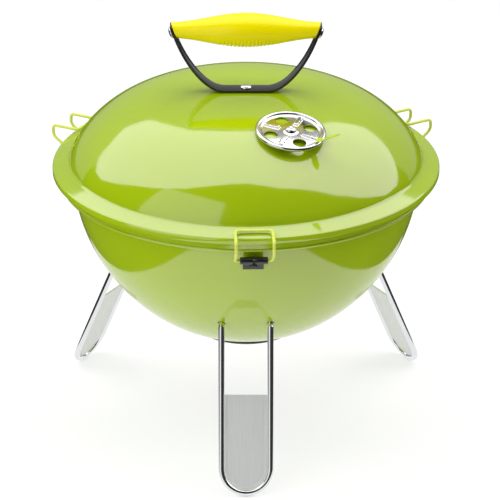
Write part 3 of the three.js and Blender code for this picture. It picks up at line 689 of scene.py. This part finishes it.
def bevelled(bm, width, segments=2, angle=40):
    def build(work):
        modifier = work.modifiers.new("edges", "BEVEL")
        modifier.width = width
        modifier.segments = segments
        modifier.limit_method = "ANGLE"
        modifier.angle_limit = math.radians(angle)
        return None

    return with_modifiers(bm, build)


def from_front(bm):
    """Stands a plate of (r, z) outline in the YZ plane, with r towards -Y and its width along X."""
    return moved(bm, Matrix(((0, 0, 1, 0), (-1, 0, 0, 0), (0, 1, 0, 0), (0, 0, 0, 1))))


# ---------------------------------------------------------------- curves of bowl and lid


def quarter(t, radius, height, across, up):
    """A point (r, h) on a quarter of a superellipse, from upright (t = 0) to level (t = 1)."""
    angle = t * QUARTER
    return radius * math.cos(angle) ** (2 / across), height * math.sin(angle) ** (2 / up)


def quarter_normal(r, h, radius, height, across, up):
    x = across * (r / radius) ** (across - 1) / radius
    y = up * (h / height) ** (up - 1) / height
    return Vector((x, y)).normalized()


def dome_point(t, inset=0.0):
    r, h = quarter(t, DOME_RADIUS, DOME_HEIGHT, DOME_ACROSS, DOME_UP)
    normal = quarter_normal(r, h, DOME_RADIUS, DOME_HEIGHT, DOME_ACROSS, DOME_UP)
    return Vector((max(0, r - inset * normal.x), RIM_Z + h - inset * normal.y))


def bowl_point(t, inset=0.0):
    r, h = quarter(t, BOWL_RADIUS, BOWL_DEPTH, BOWL_POWER, BOWL_POWER)
    normal = quarter_normal(r, h, BOWL_RADIUS, BOWL_DEPTH, BOWL_POWER, BOWL_POWER)
    return Vector((max(0, r - inset * normal.x), BOWL_TOP_Z - h + inset * normal.y))


def find_place(curve, index, wanted):
    """The place t on a curve where its radius (index 0) or height (index 1) is the wanted one."""
    start, end = 0.0, 1.0
    falls = curve(0)[index] > curve(1)[index]
    for _ in range(50):
        middle = (start + end) / 2
        if (curve(middle)[index] > wanted) == falls:
            start = middle
        else:
            end = middle
    return start


def samples(curve, start, end, count):
    return [curve(start + (end - start) * i / count) for i in range(count + 1)]


def bowl_wall(z):
    """The radius of the bowl's outer wall at a height."""
    return bowl_point(find_place(bowl_point, 1, z)).x


# ---------------------------------------------------------------- lid

VENT_SPOT_RADIUS = math.hypot(VENT_X, VENT_Y)
VENT_FRAME = Matrix.Translation(
    (VENT_X, VENT_Y, dome_point(find_place(dome_point, 0, VENT_SPOT_RADIUS)).y)
) @ Matrix.Rotation(VENT_TILT, 4, Vector((-VENT_Y, VENT_X, 0)))


def vent_holes(phase):
    return four_holes(VENT_HOLE_RADIUS, VENT_HOLE_CIRCLE, phase)


def make_lid_shell():
    half = SHEET / 2
    slope = math.radians(FLANGE_SLOPE)

    def beside(t):
        return dome_point(t, -DOME_FOOT)

    # the fillet touches the dome and the sloping flange
    foot_t = find_place(beside, 1, RIM_Z + DOME_FOOT * math.cos(slope))
    dome = samples(lambda t: dome_point(t, half), 1, foot_t, 84)
    centre = beside(foot_t)
    start = dome_point(foot_t) - centre
    start_angle = math.degrees(math.atan2(start.y, start.x))
    fillet = arc(centre, DOME_FOOT + half, start_angle, -90 - FLANGE_SLOPE, 10)
    # the flange runs on to the rounding of its outer edge
    fall_r, fall_z = math.sin(slope), math.cos(slope)
    edge_r = FLANGE_RADIUS - FLANGE_EDGE + FLANGE_EDGE * fall_r
    edge_z = RIM_Z - (edge_r - centre.x + DOME_FOOT * fall_r) * math.tan(slope)
    edge = (FLANGE_RADIUS - FLANGE_EDGE, edge_z - FLANGE_EDGE * fall_z)
    roll = arc(edge, FLANGE_EDGE - half, 90 - FLANGE_SLOPE, 0, 10)
    line = [*dome, *fillet[1:], *roll, (FLANGE_RADIUS - half, HEM_Z + half)]
    outline, first_side = sheet_outline(line, SHEET, ends=(False, True))
    # from the hem inwards, the underside is black once it is past the flange's bend
    inside_from = first_side + len(roll) + 1
    bm = turned(outline, axis_ends=True, second_from=inside_from)
    tools = [moved(tool, VENT_FRAME) for tool in vent_holes(VENT_SHUT_PHASE + QUARTER / 2)]
    tools.append(moved(rod(VENT_RIVET_HOLE, 30), VENT_FRAME))
    tools.append(placed(rod(BOLT_HOLE, 30), 0, 0, LID_TOP))
    piece("lid_shell", cut(bm, tools), more=(BLACK_ENAMEL,), smooth_angle=40)


def vent_relief(x, y):
    """How far the vent disc is pressed up at a point: a boss, and a rib between each two holes."""
    boss_radius = 7.5
    boss_height = 0.8
    rib_start = 11
    rib_end = 27.6
    rib_half_width = 2.9
    rib_height = 1.7
    fall = 0.9  # by which the disc is lower towards its rim
    radius = math.hypot(x, y)
    angle = math.atan2(y, x) - VENT_SHUT_PHASE
    rib = (math.floor(angle / QUARTER) + 0.5) * QUARTER
    across = abs(radius * math.sin(angle - rib))
    along = radius * math.cos(angle - rib)
    rib_share = smooth_step((along - rib_start) / 1.4) * smooth_step((rib_end - along) / 1.4)
    rib_share *= smooth_step((rib_half_width - across) / 1.1)
    boss_share = smooth_step((boss_radius - radius) / 2)
    fall_share = (radius / 28) ** 2 * smooth_step((29 - radius) / 2)
    return boss_height * boss_share + rib_height * rib_share - fall * fall_share


def smooth_step(value):
    value = max(0.0, min(1.0, value))
    return value * value * (3 - 2 * value)


def make_vent_disc():
    flat_z = VENT_LIFT + SHEET / 2
    plate = [(r * 0.5, flat_z) for r in range(0, 59)]
    roll = arc((VENT_RADIUS - 2.5, flat_z + 0.2), 1.7, 195, -70, 16)
    outline, _ = sheet_outline([*plate, *roll], 1.0, ends=(False, True))
    bm = turned(outline, 256, axis_ends=True)
    for vert in bm.verts:
        vert.co.z += vent_relief(vert.co.x, vert.co.y)
    tools = [*vent_holes(VENT_SHUT_PHASE), rod(VENT_RIVET_HOLE - 0.1, 30)]
    piece("lid_vent_disc", moved(cut(bm, tools), VENT_FRAME), smooth_angle=50)


def make_vent_tab():
    """A leaf of bent strip that rises from under the disc's rim and widens to a blunt point."""
    corners = [
        (VENT_RADIUS - 4.2, VENT_LIFT + 4.8),
        ((VENT_RADIUS + 0.4, VENT_LIFT + 5.2), 5),
        (VENT_RADIUS + 19.2, VENT_LIFT + 20.6),
    ]
    line = finer(rounded(corners, 10), 1.2)
    total = path_length(line)
    rings = []
    distance = 0
    thick = 0.6
    neck_half = 3.4
    widest_half = 4.6
    for i, point in enumerate(line):
        if i:
            distance += (point - line[i - 1]).length
        share = distance / total
        tip = math.sqrt(max(0, 1 - smooth_step((share - 0.55) / 0.45) ** 2))
        half = neck_half + (widest_half - neck_half) * smooth_step(share / 0.4)
        half *= max(0.16, tip)
        along = (line[min(i + 1, len(line) - 1)] - line[max(i - 1, 0)]).normalized()
        normal = Vector((-along.y, along.x))
        ring = []
        for k in range(20):
            angle = 2 * math.pi * k / 20
            across = half * math.copysign(abs(math.cos(angle)) ** 0.7, math.cos(angle))
            cup = 0.5 * (across / 4.4) ** 2
            lift = normal * (thick * math.sin(angle) + cup)
            ring.append((point.x + lift.x, across, point.y + lift.y))
        rings.append(ring)
    bm = spun(skin(rings), math.radians(-35))
    piece("lid_vent_tab", moved(bm, VENT_FRAME), smooth_angle=60)


def make_vent_rivet():
    outline = [(0, -7.6), (3.8, -7.6), (3.8, -5.8), (2, -5.6), (2, 0), (4.8, 0), (5, 0.3)]
    outline += [(4.7, 1.2), (3.9, 1.9), (3, 2.3), (1.6, 2.6), (1.2, 2.3), (0, 2.1)]
    rivet = turned(outline, PIN_STEPS, axis_ends=True)
    lifted = placed(rivet, 0, 0, VENT_LIFT + SHEET + GAP + 1)
    piece("lid_vent_rivet", moved(lifted, VENT_FRAME), smooth_angle=50)


# ---------------------------------------------------------------- handle


def strap_line():
    """The strap's middle line from its flat base to one tip, as (x, z)."""
    start = Vector((STRAP_BASE_HALF, STRAP_Z))
    slope = Vector((math.cos(TIP_SLOPE), math.sin(TIP_SLOPE)))
    tip = Vector((TIP_X, TIP_Z))
    bend_end = tip - slope * 14

    # one cubic bend, level at the base and sloping at the tip
    first = start + Vector((18, 0))
    second = bend_end - slope * 28

    def bend(t):
        ends = start * (1 - t) ** 3 + bend_end * t**3
        return ends + (first * (1 - t) + second * t) * 3 * t * (1 - t)

    return [*samples(bend, 0, 1, 40), tip - slope * 6, tip]


def at_tip(bm, sign, distance):
    """Puts a shape made about +Z at a grip end, with +Z pointing out of the grip."""
    out = Vector((math.sin(TIP_SLOPE), -math.cos(TIP_SLOPE)))
    slope = Vector((math.cos(TIP_SLOPE), math.sin(TIP_SLOPE)))
    middle = Vector((TIP_X, TIP_Z)) - slope * 6.6 + out * distance
    moved(bm, Matrix.Rotation(sign * math.atan2(out.x, out.y), 4, "Y"))
    return placed(bm, sign * middle.x, 0, middle.y)


def make_handle():
    half = strap_line()
    line = [Vector((-p.x, p.y)) for p in reversed(half)] + half
    outline, _ = sheet_outline(finer(line, 3), STRAP_THICK)
    plate = laid(flat(outline, STRAP_WIDTH))
    tools = [placed(rod(BOLT_HOLE, 12), 0, 0, STRAP_Z)]
    tools += [at_tip(rod(END_SCREW_HOLE, 12), sign, 0) for sign in (-1, 1)]
    piece("handle_strap", bevelled(cut(plate, tools), 0.45, 3, 50), smooth_angle=45)

    bolt = pin(5.6, 3, 3, STRAP_THICK + 9, thread=(1.0, 0.45))
    piece("handle_bolt", placed(bolt, 0, 0, STRAP_Z + STRAP_THICK / 2 + GAP))
    piece("handle_nut", placed(nut(11, 3.3, 4), 0, 0, LID_TOP - SHEET - GAP - 2.1))
    for side, sign in (("left", -1), ("right", 1)):
        piece(f"handle_screw_{side}", at_tip(pin(5.8, 3, 2, 16), sign, STRAP_THICK / 2 + GAP))


def grip_radius(x):
    """The grip's radius at a distance from its middle, where it swells."""
    slim = 7.4
    swell = 9.2
    swell_length = 158
    return slim + swell * math.cos(math.pi * x / swell_length) ** 2.2


def grip_ribs(x, angle):
    """Small ridges across the underside of the grip's middle, where the fingers close."""
    pitch = 3.6
    reach = 27
    height = 0.75
    sunk = 0.5  # the ridges stand in a shallow hollow
    ridge = max(0, math.cos(2 * math.pi * x / pitch)) ** 0.8
    along = smooth_step((reach - abs(x)) / 7)
    under = smooth_step((math.cos(angle) - 0.25) / 0.35)
    return (height * ridge - sunk) * along * under


def make_grip():
    steps_round = 96
    rings = []
    x = -GRIP_REACH
    while x <= GRIP_REACH:
        radius = grip_radius(x)
        ring = []
        for k in range(steps_round):
            angle = 2 * math.pi * k / steps_round
            size = radius + grip_ribs(x, angle)
            ring.append((x, size * math.sin(angle), GRIP_Z - size * math.cos(angle)))
        rings.append(ring)
        x += 0.5 if abs(x) < 30 else 1.0
    bm = skin(rings)
    tools = []
    for sign in (-1, 1):
        tools.append(at_tip(block(60, 60, 30), sign, 15 - STRAP_THICK / 2 - GAP))
        tools.append(at_tip(rod(END_SCREW_HOLE - 0.1, 36), sign, 0))
    piece("handle_grip", bevelled(cut(bm, tools), 0.6, 3, 50), smooth_angle=45)


# ---------------------------------------------------------------- bowl

STUD_T = find_place(bowl_point, 0, STUD_RADIUS)
STUD_WALL = bowl_point(STUD_T)
STUD_NORMAL = quarter_normal(
    STUD_WALL.x, BOWL_TOP_Z - STUD_WALL.y, BOWL_RADIUS, BOWL_DEPTH, BOWL_POWER, BOWL_POWER
)
STUD_POINT = Vector((0, -math.sqrt(STUD_RADIUS**2 - LEG_HALF_SPAN**2), STUD_WALL.y))
STUD_INWARDS = Vector((0, STUD_NORMAL.x, STUD_NORMAL.y))


def along_stud(bm, distance, x):
    """Puts a shape made about +Z on a leg's stud, at a distance inside the bowl's wall."""
    moved(bm, Vector((0, 0, 1)).rotation_difference(STUD_INWARDS).to_matrix().to_4x4())
    return placed(bm, *(STUD_POINT + STUD_INWARDS * distance + Vector((x, 0, 0))))


def damper_holes(z):
    """Tools for the four ash holes and the screw's hole, in the bowl or its damper."""
    holes = four_holes(DAMPER_HOLE_RADIUS, DAMPER_HOLE_CIRCLE, QUARTER / 2, z)
    return [placed(rod(VENT_SCREW_HOLE, 60), 0, 0, z), *holes]


def make_bowl():
    half = SHEET / 2
    wall_t = find_place(bowl_point, 1, BOWL_WALL_Z)
    wall = samples(lambda t: bowl_point(t, half), 1, wall_t, 84)
    flange_z = BOWL_FLANGE_Z - half
    edge = BOWL_FLANGE_RADIUS - half
    bend_steps = 8
    flare = [
        tuple(wall[-1]),
        ((171.3, 250.6), 10),
        ((177, flange_z), 3),
        ((edge, flange_z), 1.4),
        (edge, HEM_BEAD[1] + 2),
    ]
    bead = arc(HEM_BEAD, HEM_BEAD_RADIUS - half, 80, -230, 20)
    line = [*wall, *rounded(flare, bend_steps)[1:], *bead]
    outline, _ = sheet_outline(line, SHEET, ends=(False, True))
    # the line runs outwards and up, so its left side is the inside, which is black to the flange
    bm = turned(outline, axis_ends=True)
    bm.faces.ensure_lookup_table()
    black_rows = len(wall) + 2 * bend_steps
    for i, face in enumerate(bm.faces):
        face.material_index = int(i // ROUND_STEPS < black_rows)
    tools = damper_holes(bowl_point(1).y)
    for azimuth in PLACES.values():
        for side in (-1, 1):
            hole = along_stud(rod(LEG_WIRE + 0.6, 16), 0, side * LEG_HALF_SPAN)
            tools.append(spun(hole, azimuth))
        hole = placed(laid(rod(CLAMP_RIVET_HOLE, 14)), 0, -bowl_wall(RIVET_Z), RIVET_Z)
        tools.append(spun(hole, azimuth + CLAMP_TURN))
    piece("fire_bowl", cut(bm, tools), more=(BLACK_ENAMEL,), smooth_angle=40)


def make_bottom_vent():
    edge_t = find_place(bowl_point, 0, DAMPER_RADIUS)
    inset = -GAP - 0.3 - SHEET / 2
    dish = samples(lambda t: bowl_point(t, inset), 1, edge_t, 24)
    tip = dish[-1]
    rim = tip.x + 1.1
    line = rounded([*map(tuple, dish), ((rim, tip.y + 0.4), 0.8), (rim, tip.y - 1.6)])
    outline, _ = sheet_outline(line, SHEET, ends=(False, True))
    disc = cut(turned(outline, 144, axis_ends=True), damper_holes(tip.y))
    tab = flat(rounded([(-7, -10), ((-7, 10), 5), ((7, 10), 5), (7, -10)]), 1.6)
    tab = moved(bevelled(tab, 0.4), Matrix.Rotation(math.radians(-12), 4, "X"))
    placed(tab, 0, tip.x + 8, tip.y - 2)
    piece("bottom_vent_damper", together([disc, tab]), smooth_angle=45)
    bottom = bowl_point(1).y
    screw = moved(pin(6, 2.6, 2.5, 11, thread=(0.9, 0.4)), Matrix.Rotation(math.pi, 4, "X"))
    piece("bottom_vent_screw", placed(screw, 0, 0, bottom - 2.4 - GAP))
    piece("bottom_vent_nut", placed(nut(9, 2.9, 3), 0, 0, bottom + SHEET + GAP + 1.9))


# ---------------------------------------------------------------- legs


def leg_path():
    up = Vector((0, math.cos(LEG_SLOPE), math.sin(LEG_SLOPE)))
    foot = Vector((0, -FOOT_RADIUS, LEG_WIRE))
    reach = STUD_POINT - foot
    across = up.y * STUD_INWARDS.z - up.z * STUD_INWARDS.y
    length = (reach.y * STUD_INWARDS.z - reach.z * STUD_INWARDS.y) / across
    knee = foot + up * length
    tip = STUD_POINT + STUD_INWARDS * STUD_INSIDE
    corners = []
    for sign in (-1, 1):
        x = sign * LEG_HALF_SPAN
        side = [
            (x, tip.y, tip.z),
            ((x, knee.y, knee.z), LEG_BEND),
            ((x, foot.y, foot.z), LEG_HALF_SPAN - 0.01),
        ]
        corners += side if sign < 0 else reversed(side)
    return rounded(corners, 24)


def make_legs():
    path = leg_path()
    fine = 0.17  # steps that a thread needs
    path = [*finer(path[:2], fine), *path[2:-1], *finer(path[-2:], fine)[1:]]
    total = path_length(path)
    start = 0.6
    inside = STUD_INSIDE + 1
    pitch_and_depth = (1.0, 0.42)
    thread = (
        (start, inside, *pitch_and_depth),
        (total - inside, total - start, *pitch_and_depth),
    )
    for side, azimuth in PLACES.items():
        piece(f"leg_wire_{side}", wire(path, LEG_WIRE, thread=thread), turn=azimuth, smooth_angle=50)
        piece(f"leg_plate_{side}", make_leg_plate(), turn=azimuth)
        for hand, sign in (("a", -1), ("b", 1)):
            bm = along_stud(nut(10.6, LEG_WIRE + GAP + 0.1, 4.5), 6.2, sign * LEG_HALF_SPAN)
            piece(f"leg_nut_{side}_{hand}", bm, turn=azimuth)


def make_leg_plate():
    """A sheet that fills the lower loop of a leg, with a narrow raised border."""
    half = LEG_HALF_SPAN - LEG_WIRE - GAP
    top = (PLATE_TOP_Z - LEG_WIRE) / math.sin(LEG_SLOPE)
    outline = [(half, top), (-half, top), (-half, LEG_HALF_SPAN)]
    outline += arc((0, LEG_HALF_SPAN), half, 180, 360, 40)[1:]
    thick = PLATE_THICK / 2
    border = 1.5
    step = 0.45
    edge = 0.25
    middle = (LEG_HALF_SPAN + top) / 2

    def inner(reach):
        shrink_x = (half - reach) / half
        shrink_y = (middle - reach) / middle
        return [(x * shrink_x, middle + (y - middle) * shrink_y) for x, y in outline]

    # the front face looks towards -Y once the plate stands, which is +Z here
    rings = [
        [(x, y, -thick) for x, y in inner(edge)],
        [(x, y, -thick + edge) for x, y in outline],
        [(x, y, thick - edge) for x, y in outline],
        [(x, y, thick) for x, y in inner(edge)],
        [(x, y, thick) for x, y in inner(border)],
        [(x, y, thick - step) for x, y in inner(border + 0.5)],
    ]
    standing = moved(skin(rings), Matrix.Rotation(LEG_SLOPE, 4, "X"))
    return placed(standing, 0, -FOOT_RADIUS, LEG_WIRE)


# ---------------------------------------------------------------- clamps


def make_bracket():
    """Bent strip, seen from the side: a riveted foot, a shelf, and a curl that holds the bail."""
    foot_z = 225.5
    shelf_z = 236
    foot = bowl_wall(foot_z) + GAP + BRACKET_THICK / 2
    shelf = bowl_wall(shelf_z) + GAP + BRACKET_THICK / 2
    curl_radius = BARREL_RADIUS - BRACKET_THICK / 2
    corners = [
        (foot, foot_z + 0.5),
        ((shelf, shelf_z), 2.2),
        (PIVOT_RADIUS - 1.4, PIVOT_Z - curl_radius - 0.1),
    ]
    curl = arc((PIVOT_RADIUS, PIVOT_Z), curl_radius, -80, 205, 28)
    outline, _ = sheet_outline([*rounded(corners, 8), *curl], BRACKET_THICK)
    plate = from_front(flat(outline, 2 * CURL_HALF_WIDTH))
    tools = [placed(laid(rod(CLAMP_RIVET_HOLE, 14)), 0, -bowl_wall(RIVET_Z) - 2, RIVET_Z)]
    # a slot in the middle of the curl parts it into two knuckles
    tools.append(placed(block(2.6, 8.4, 7), 0, -PIVOT_RADIUS - 1.6, PIVOT_Z - 0.4))
    # below the curl the strip is narrower
    trim = 2 * CURL_HALF_WIDTH - BRACKET_HALF_WIDTH
    height = 20
    top = PIVOT_Z - BARREL_RADIUS + 0.6
    for sign in (-1, 1):
        x = sign * (BRACKET_HALF_WIDTH + trim / 2)
        tools.append(placed(block(trim, 60, height), x, -PIVOT_RADIUS, top - height / 2))
    return bevelled(cut(plate, tools), 0.25, 2, 50)


def bail_path():
    points = []
    for sign in (-1, 1):
        half = sign * BAIL_HALF_WIDTH
        side = [
            (sign * 4.2, -PIVOT_RADIUS, PIVOT_Z),
            ((half, -PIVOT_RADIUS, PIVOT_Z), 4),
            ((half, -BAIL_OUTER_RADIUS - 0.6, PIVOT_Z + 18.5), 9),
            ((half, -BAIL_OUTER_RADIUS, BAIL_TOP_Z), 4),
            ((half, -BAIL_BAR_RADIUS, BAIL_TOP_Z), 4),
        ]
        points += side if sign < 0 else reversed(side)
    return rounded(points, 10)


def make_clamps():
    path = bail_path()
    for side, azimuth in PLACES.items():
        turn = azimuth + CLAMP_TURN
        piece(f"clamp_bracket_{side}", make_bracket(), turn=turn, smooth_angle=45)
        piece(f"clamp_bail_{side}", wire(path, BAIL_WIRE, steps=16), turn=turn, smooth_angle=60)
        seat = bowl_wall(RIVET_Z) + GAP + BRACKET_THICK + 0.9
        rivet = placed(laid(pin(3.6, 1.6, 2, 6)), 0, -seat, RIVET_Z)
        piece(f"clamp_rivet_{side}", rivet, turn=turn)


# ---------------------------------------------------------------- grates


def make_grate(node):
    """A ring with parallel rods across it and two bars under the rods, welded where they meet."""
    box_low, box_high = low(node), high(node)
    radius = box_high.x - GRATE_RING_WIRE
    z = box_high.z - GRATE_RING_WIRE
    steps = 120
    circle = [on_circle(radius, k / steps, z) for k in range(steps)]
    parts = [wire(circle, GRATE_RING_WIRE, closed=True)]
    pitch = GRATE_PITCH[node]
    count = int((radius - GRATE_RING_WIRE) // pitch)
    for i in range(-count, count + 1):
        y = i * pitch
        half = math.sqrt(radius**2 - y**2)
        parts.append(wire([(-half, y, z), (half, y, z)], GRATE_ROD, steps=14))
    bar_z = z - 2 * GRATE_ROD + 0.6
    for sign in (-1, 1):
        x = sign * GRATE_BARS[node]
        half = math.sqrt(radius**2 - x**2)
        parts.append(wire([(x, -half, bar_z), (x, half, bar_z)], GRATE_ROD, steps=14))
    piece(node, together(parts), smooth_angle=60)


def make_grate_supports():
    shelf_z = COOKING_Z - GRATE_RING_WIRE - GAP
    radius = high("cooking_grate").x - GRATE_RING_WIRE
    thick = 1.6
    lowest = shelf_z - 14
    room = GAP + 1.2 + SHEET + thick / 2
    line = [
        (bowl_wall(lowest) - room, lowest + 0.5),
        ((bowl_wall(shelf_z) - room, shelf_z - thick / 2), 2),
        (radius - 5.4, shelf_z - thick / 2),
    ]
    outline, _ = sheet_outline(rounded(line, 6), thick)
    for side, azimuth in PLACES.items():
        plate = bevelled(from_front(flat(outline, 14)), 0.3)
        piece(f"grate_support_{side}", plate, turn=azimuth + math.pi / 3, smooth_angle=45)


# ---------------------------------------------------------------- floor, light and camera


def staged(name, corners, faces, look):
    """A mesh that belongs to the studio."""
    mesh = bpy.data.meshes.new(name)
    mesh.from_pydata(corners, [], faces)
    mesh.materials.append(look.material)
    made = bpy.data.objects.new(name, mesh)
    bpy.context.scene.collection.objects.link(made)
    return made


def floor():
    """A pale floor that glows a little, so that it looks white up to the legs."""
    size = 6
    corners = [(-size, -size, 0), (size, -size, 0), (size, size, 0), (-size, size, 0)]
    look = Finish("floor", (0.4, 0.4, 0.4), 0.6)
    look.color(look.mix(look.noise(0.5, 2), (0.39, 0.39, 0.39), (0.41, 0.41, 0.41)))
    look.shader.inputs["Emission Color"].default_value = (1, 1, 1, 1)
    look.shader.inputs["Emission Strength"].default_value = 0.62
    made = staged("floor", corners, [(0, 1, 2, 3)], look)
    made.visible_glossy = False


# The edge of the overhead softbox as azimuth and elevation seen from the lid, in degrees.
CANOPY = [
    (0, 69),
    (33, 60),
    (54, 50),
    (66, 36),
    (80, 20),
    (95, 7),
    (108, 7),
    (120, 16),
    (134, 25),
    (145, 31),
    (152, 36),
    (158, 38),
    (163, 47),
    (180, 50),
    (198, 48),
    (204, 35),
    (216, 29),
    (228, 26),
    (237, 18),
    (244, 14),
    (253, 15),
    (265, 24),
    (287, 40),
    (306, 52),
    (330, 64),
]


def canopy(radiance):
    """A big overhead softbox, arched down to both sides."""
    reach = 2.2
    rings = 5
    corners = [around(0, 90, reach)]
    for k in range(1, rings + 1):
        for azimuth, elevation in CANOPY:
            corners.append(around(azimuth, 90 - (90 - elevation) * k / rings, reach))
    count = len(CANOPY)
    faces = [(0, 1 + i, 1 + (i + 1) % count) for i in range(count)]
    for k in range(rings - 1):
        for i in range(count):
            a, b = 1 + k * count + i, 1 + k * count + (i + 1) % count
            faces.append((a, b, b + count, a + count))
    made = staged("canopy", corners, faces, glowing("canopy", radiance))
    made.visible_camera = False


def glowing(name, radiance):
    """A diffuser cloth lit from behind, very slightly uneven."""
    look = Finish(name, (0, 0, 0), 1)
    glow = look.mix(look.noise(0.8, 1), (0.97, 0.97, 0.97), (1, 1, 1))
    look.feed(look.shader.inputs["Emission Color"], glow)
    look.shader.inputs["Emission Strength"].default_value = radiance
    return look


def reflected(name, corners, radiance):
    """A flat bright card that only shows in shiny surfaces."""
    made = staged(name, corners, [tuple(range(len(corners)))], glowing(name, radiance))
    made.visible_camera = False
    made.visible_diffuse = False
    made.visible_shadow = False


def soft_light(name, place, aim, width, height, radiance):
    """A panel of light that faces aim. Its radiance is 1 where it would look plain white."""
    data = bpy.data.lights.new(name, "AREA")
    data.shape = "RECTANGLE"
    data.size = width
    data.size_y = height
    data.energy = radiance * math.pi * width * height
    made = bpy.data.objects.new(name, data)
    made.location = place
    direction = Vector(aim) - Vector(place)
    made.rotation_euler = direction.to_track_quat("-Z", "Y").to_euler()
    made.visible_camera = False
    bpy.context.scene.collection.objects.link(made)
    return made


def around(azimuth, elevation, distance):
    """A place seen from the lid at an azimuth from the front (towards +X) and an elevation."""
    a, e = math.radians(azimuth), math.radians(elevation)
    x = distance * math.cos(e) * math.sin(a)
    y = -distance * math.cos(e) * math.cos(a)
    return (x, y, distance * math.sin(e) + 0.3)


def lights():
    canopy(2.2)
    soft_light("front_left", (-0.5, -0.6, 0.56), (0, 0, 0.56), 0.72, 1.1, 0.9)
    fill = soft_light("front_fill", (-1.3, -2.1, 1.5), (0, 0, 0.3), 2, 1.2, 1.3)
    fill.visible_glossy = False
    # a pale card lies under the grill and reaches forward, and a pale wall stands behind it
    card = [(-0.27, 0.3), (-0.27, -0.4), (-0.1, -0.8), (0.12, -0.8), (0.28, -0.4), (0.28, 0.3)]
    reflected("under_card", [(x, y, 0.001) for x, y in card], 1.0)
    wall = [(-4, 2.6, 0.02), (4, 2.6, 0.02), (4, 2.6, 4), (-4, 2.6, 4)]
    reflected("back_wall", wall, 0.4)
    world = bpy.data.worlds.new("studio")
    world.use_nodes = True
    background = world.node_tree.nodes["Background"]
    background.inputs["Color"].default_value = (1, 1, 1, 1)
    background.inputs["Strength"].default_value = 0.04
    bpy.context.scene.world = world
    bpy.context.scene.view_settings.view_transform = "Standard"


def camera():
    data = bpy.data.cameras.new("camera")
    data.lens = 200.65
    data.sensor_width = 36
    data.shift_x = 0.008
    made = bpy.data.objects.new("camera", data)
    made.location = (0, -2.5347, 1.3118)
    made.rotation_euler = (math.radians(65.74), 0, 0)
    bpy.context.scene.collection.objects.link(made)
    bpy.context.scene.camera = made


# ---------------------------------------------------------------- the scene

camera()
floor()
lights()
make_lid_shell()
make_vent_disc()
make_vent_tab()
make_vent_rivet()
make_handle()
make_grip()
make_bowl()
make_bottom_vent()
make_legs()
make_clamps()
make_grate("cooking_grate")
make_grate("charcoal_grate")
make_grate_supports()

# the washer under the lid's vent is shown as it is, and the nodes that are replaced stay hidden
for name, node in frame["nodes"].items():
    node.data.materials.clear()
    node.data.materials.append(LOOKS[SLOTS[name]])
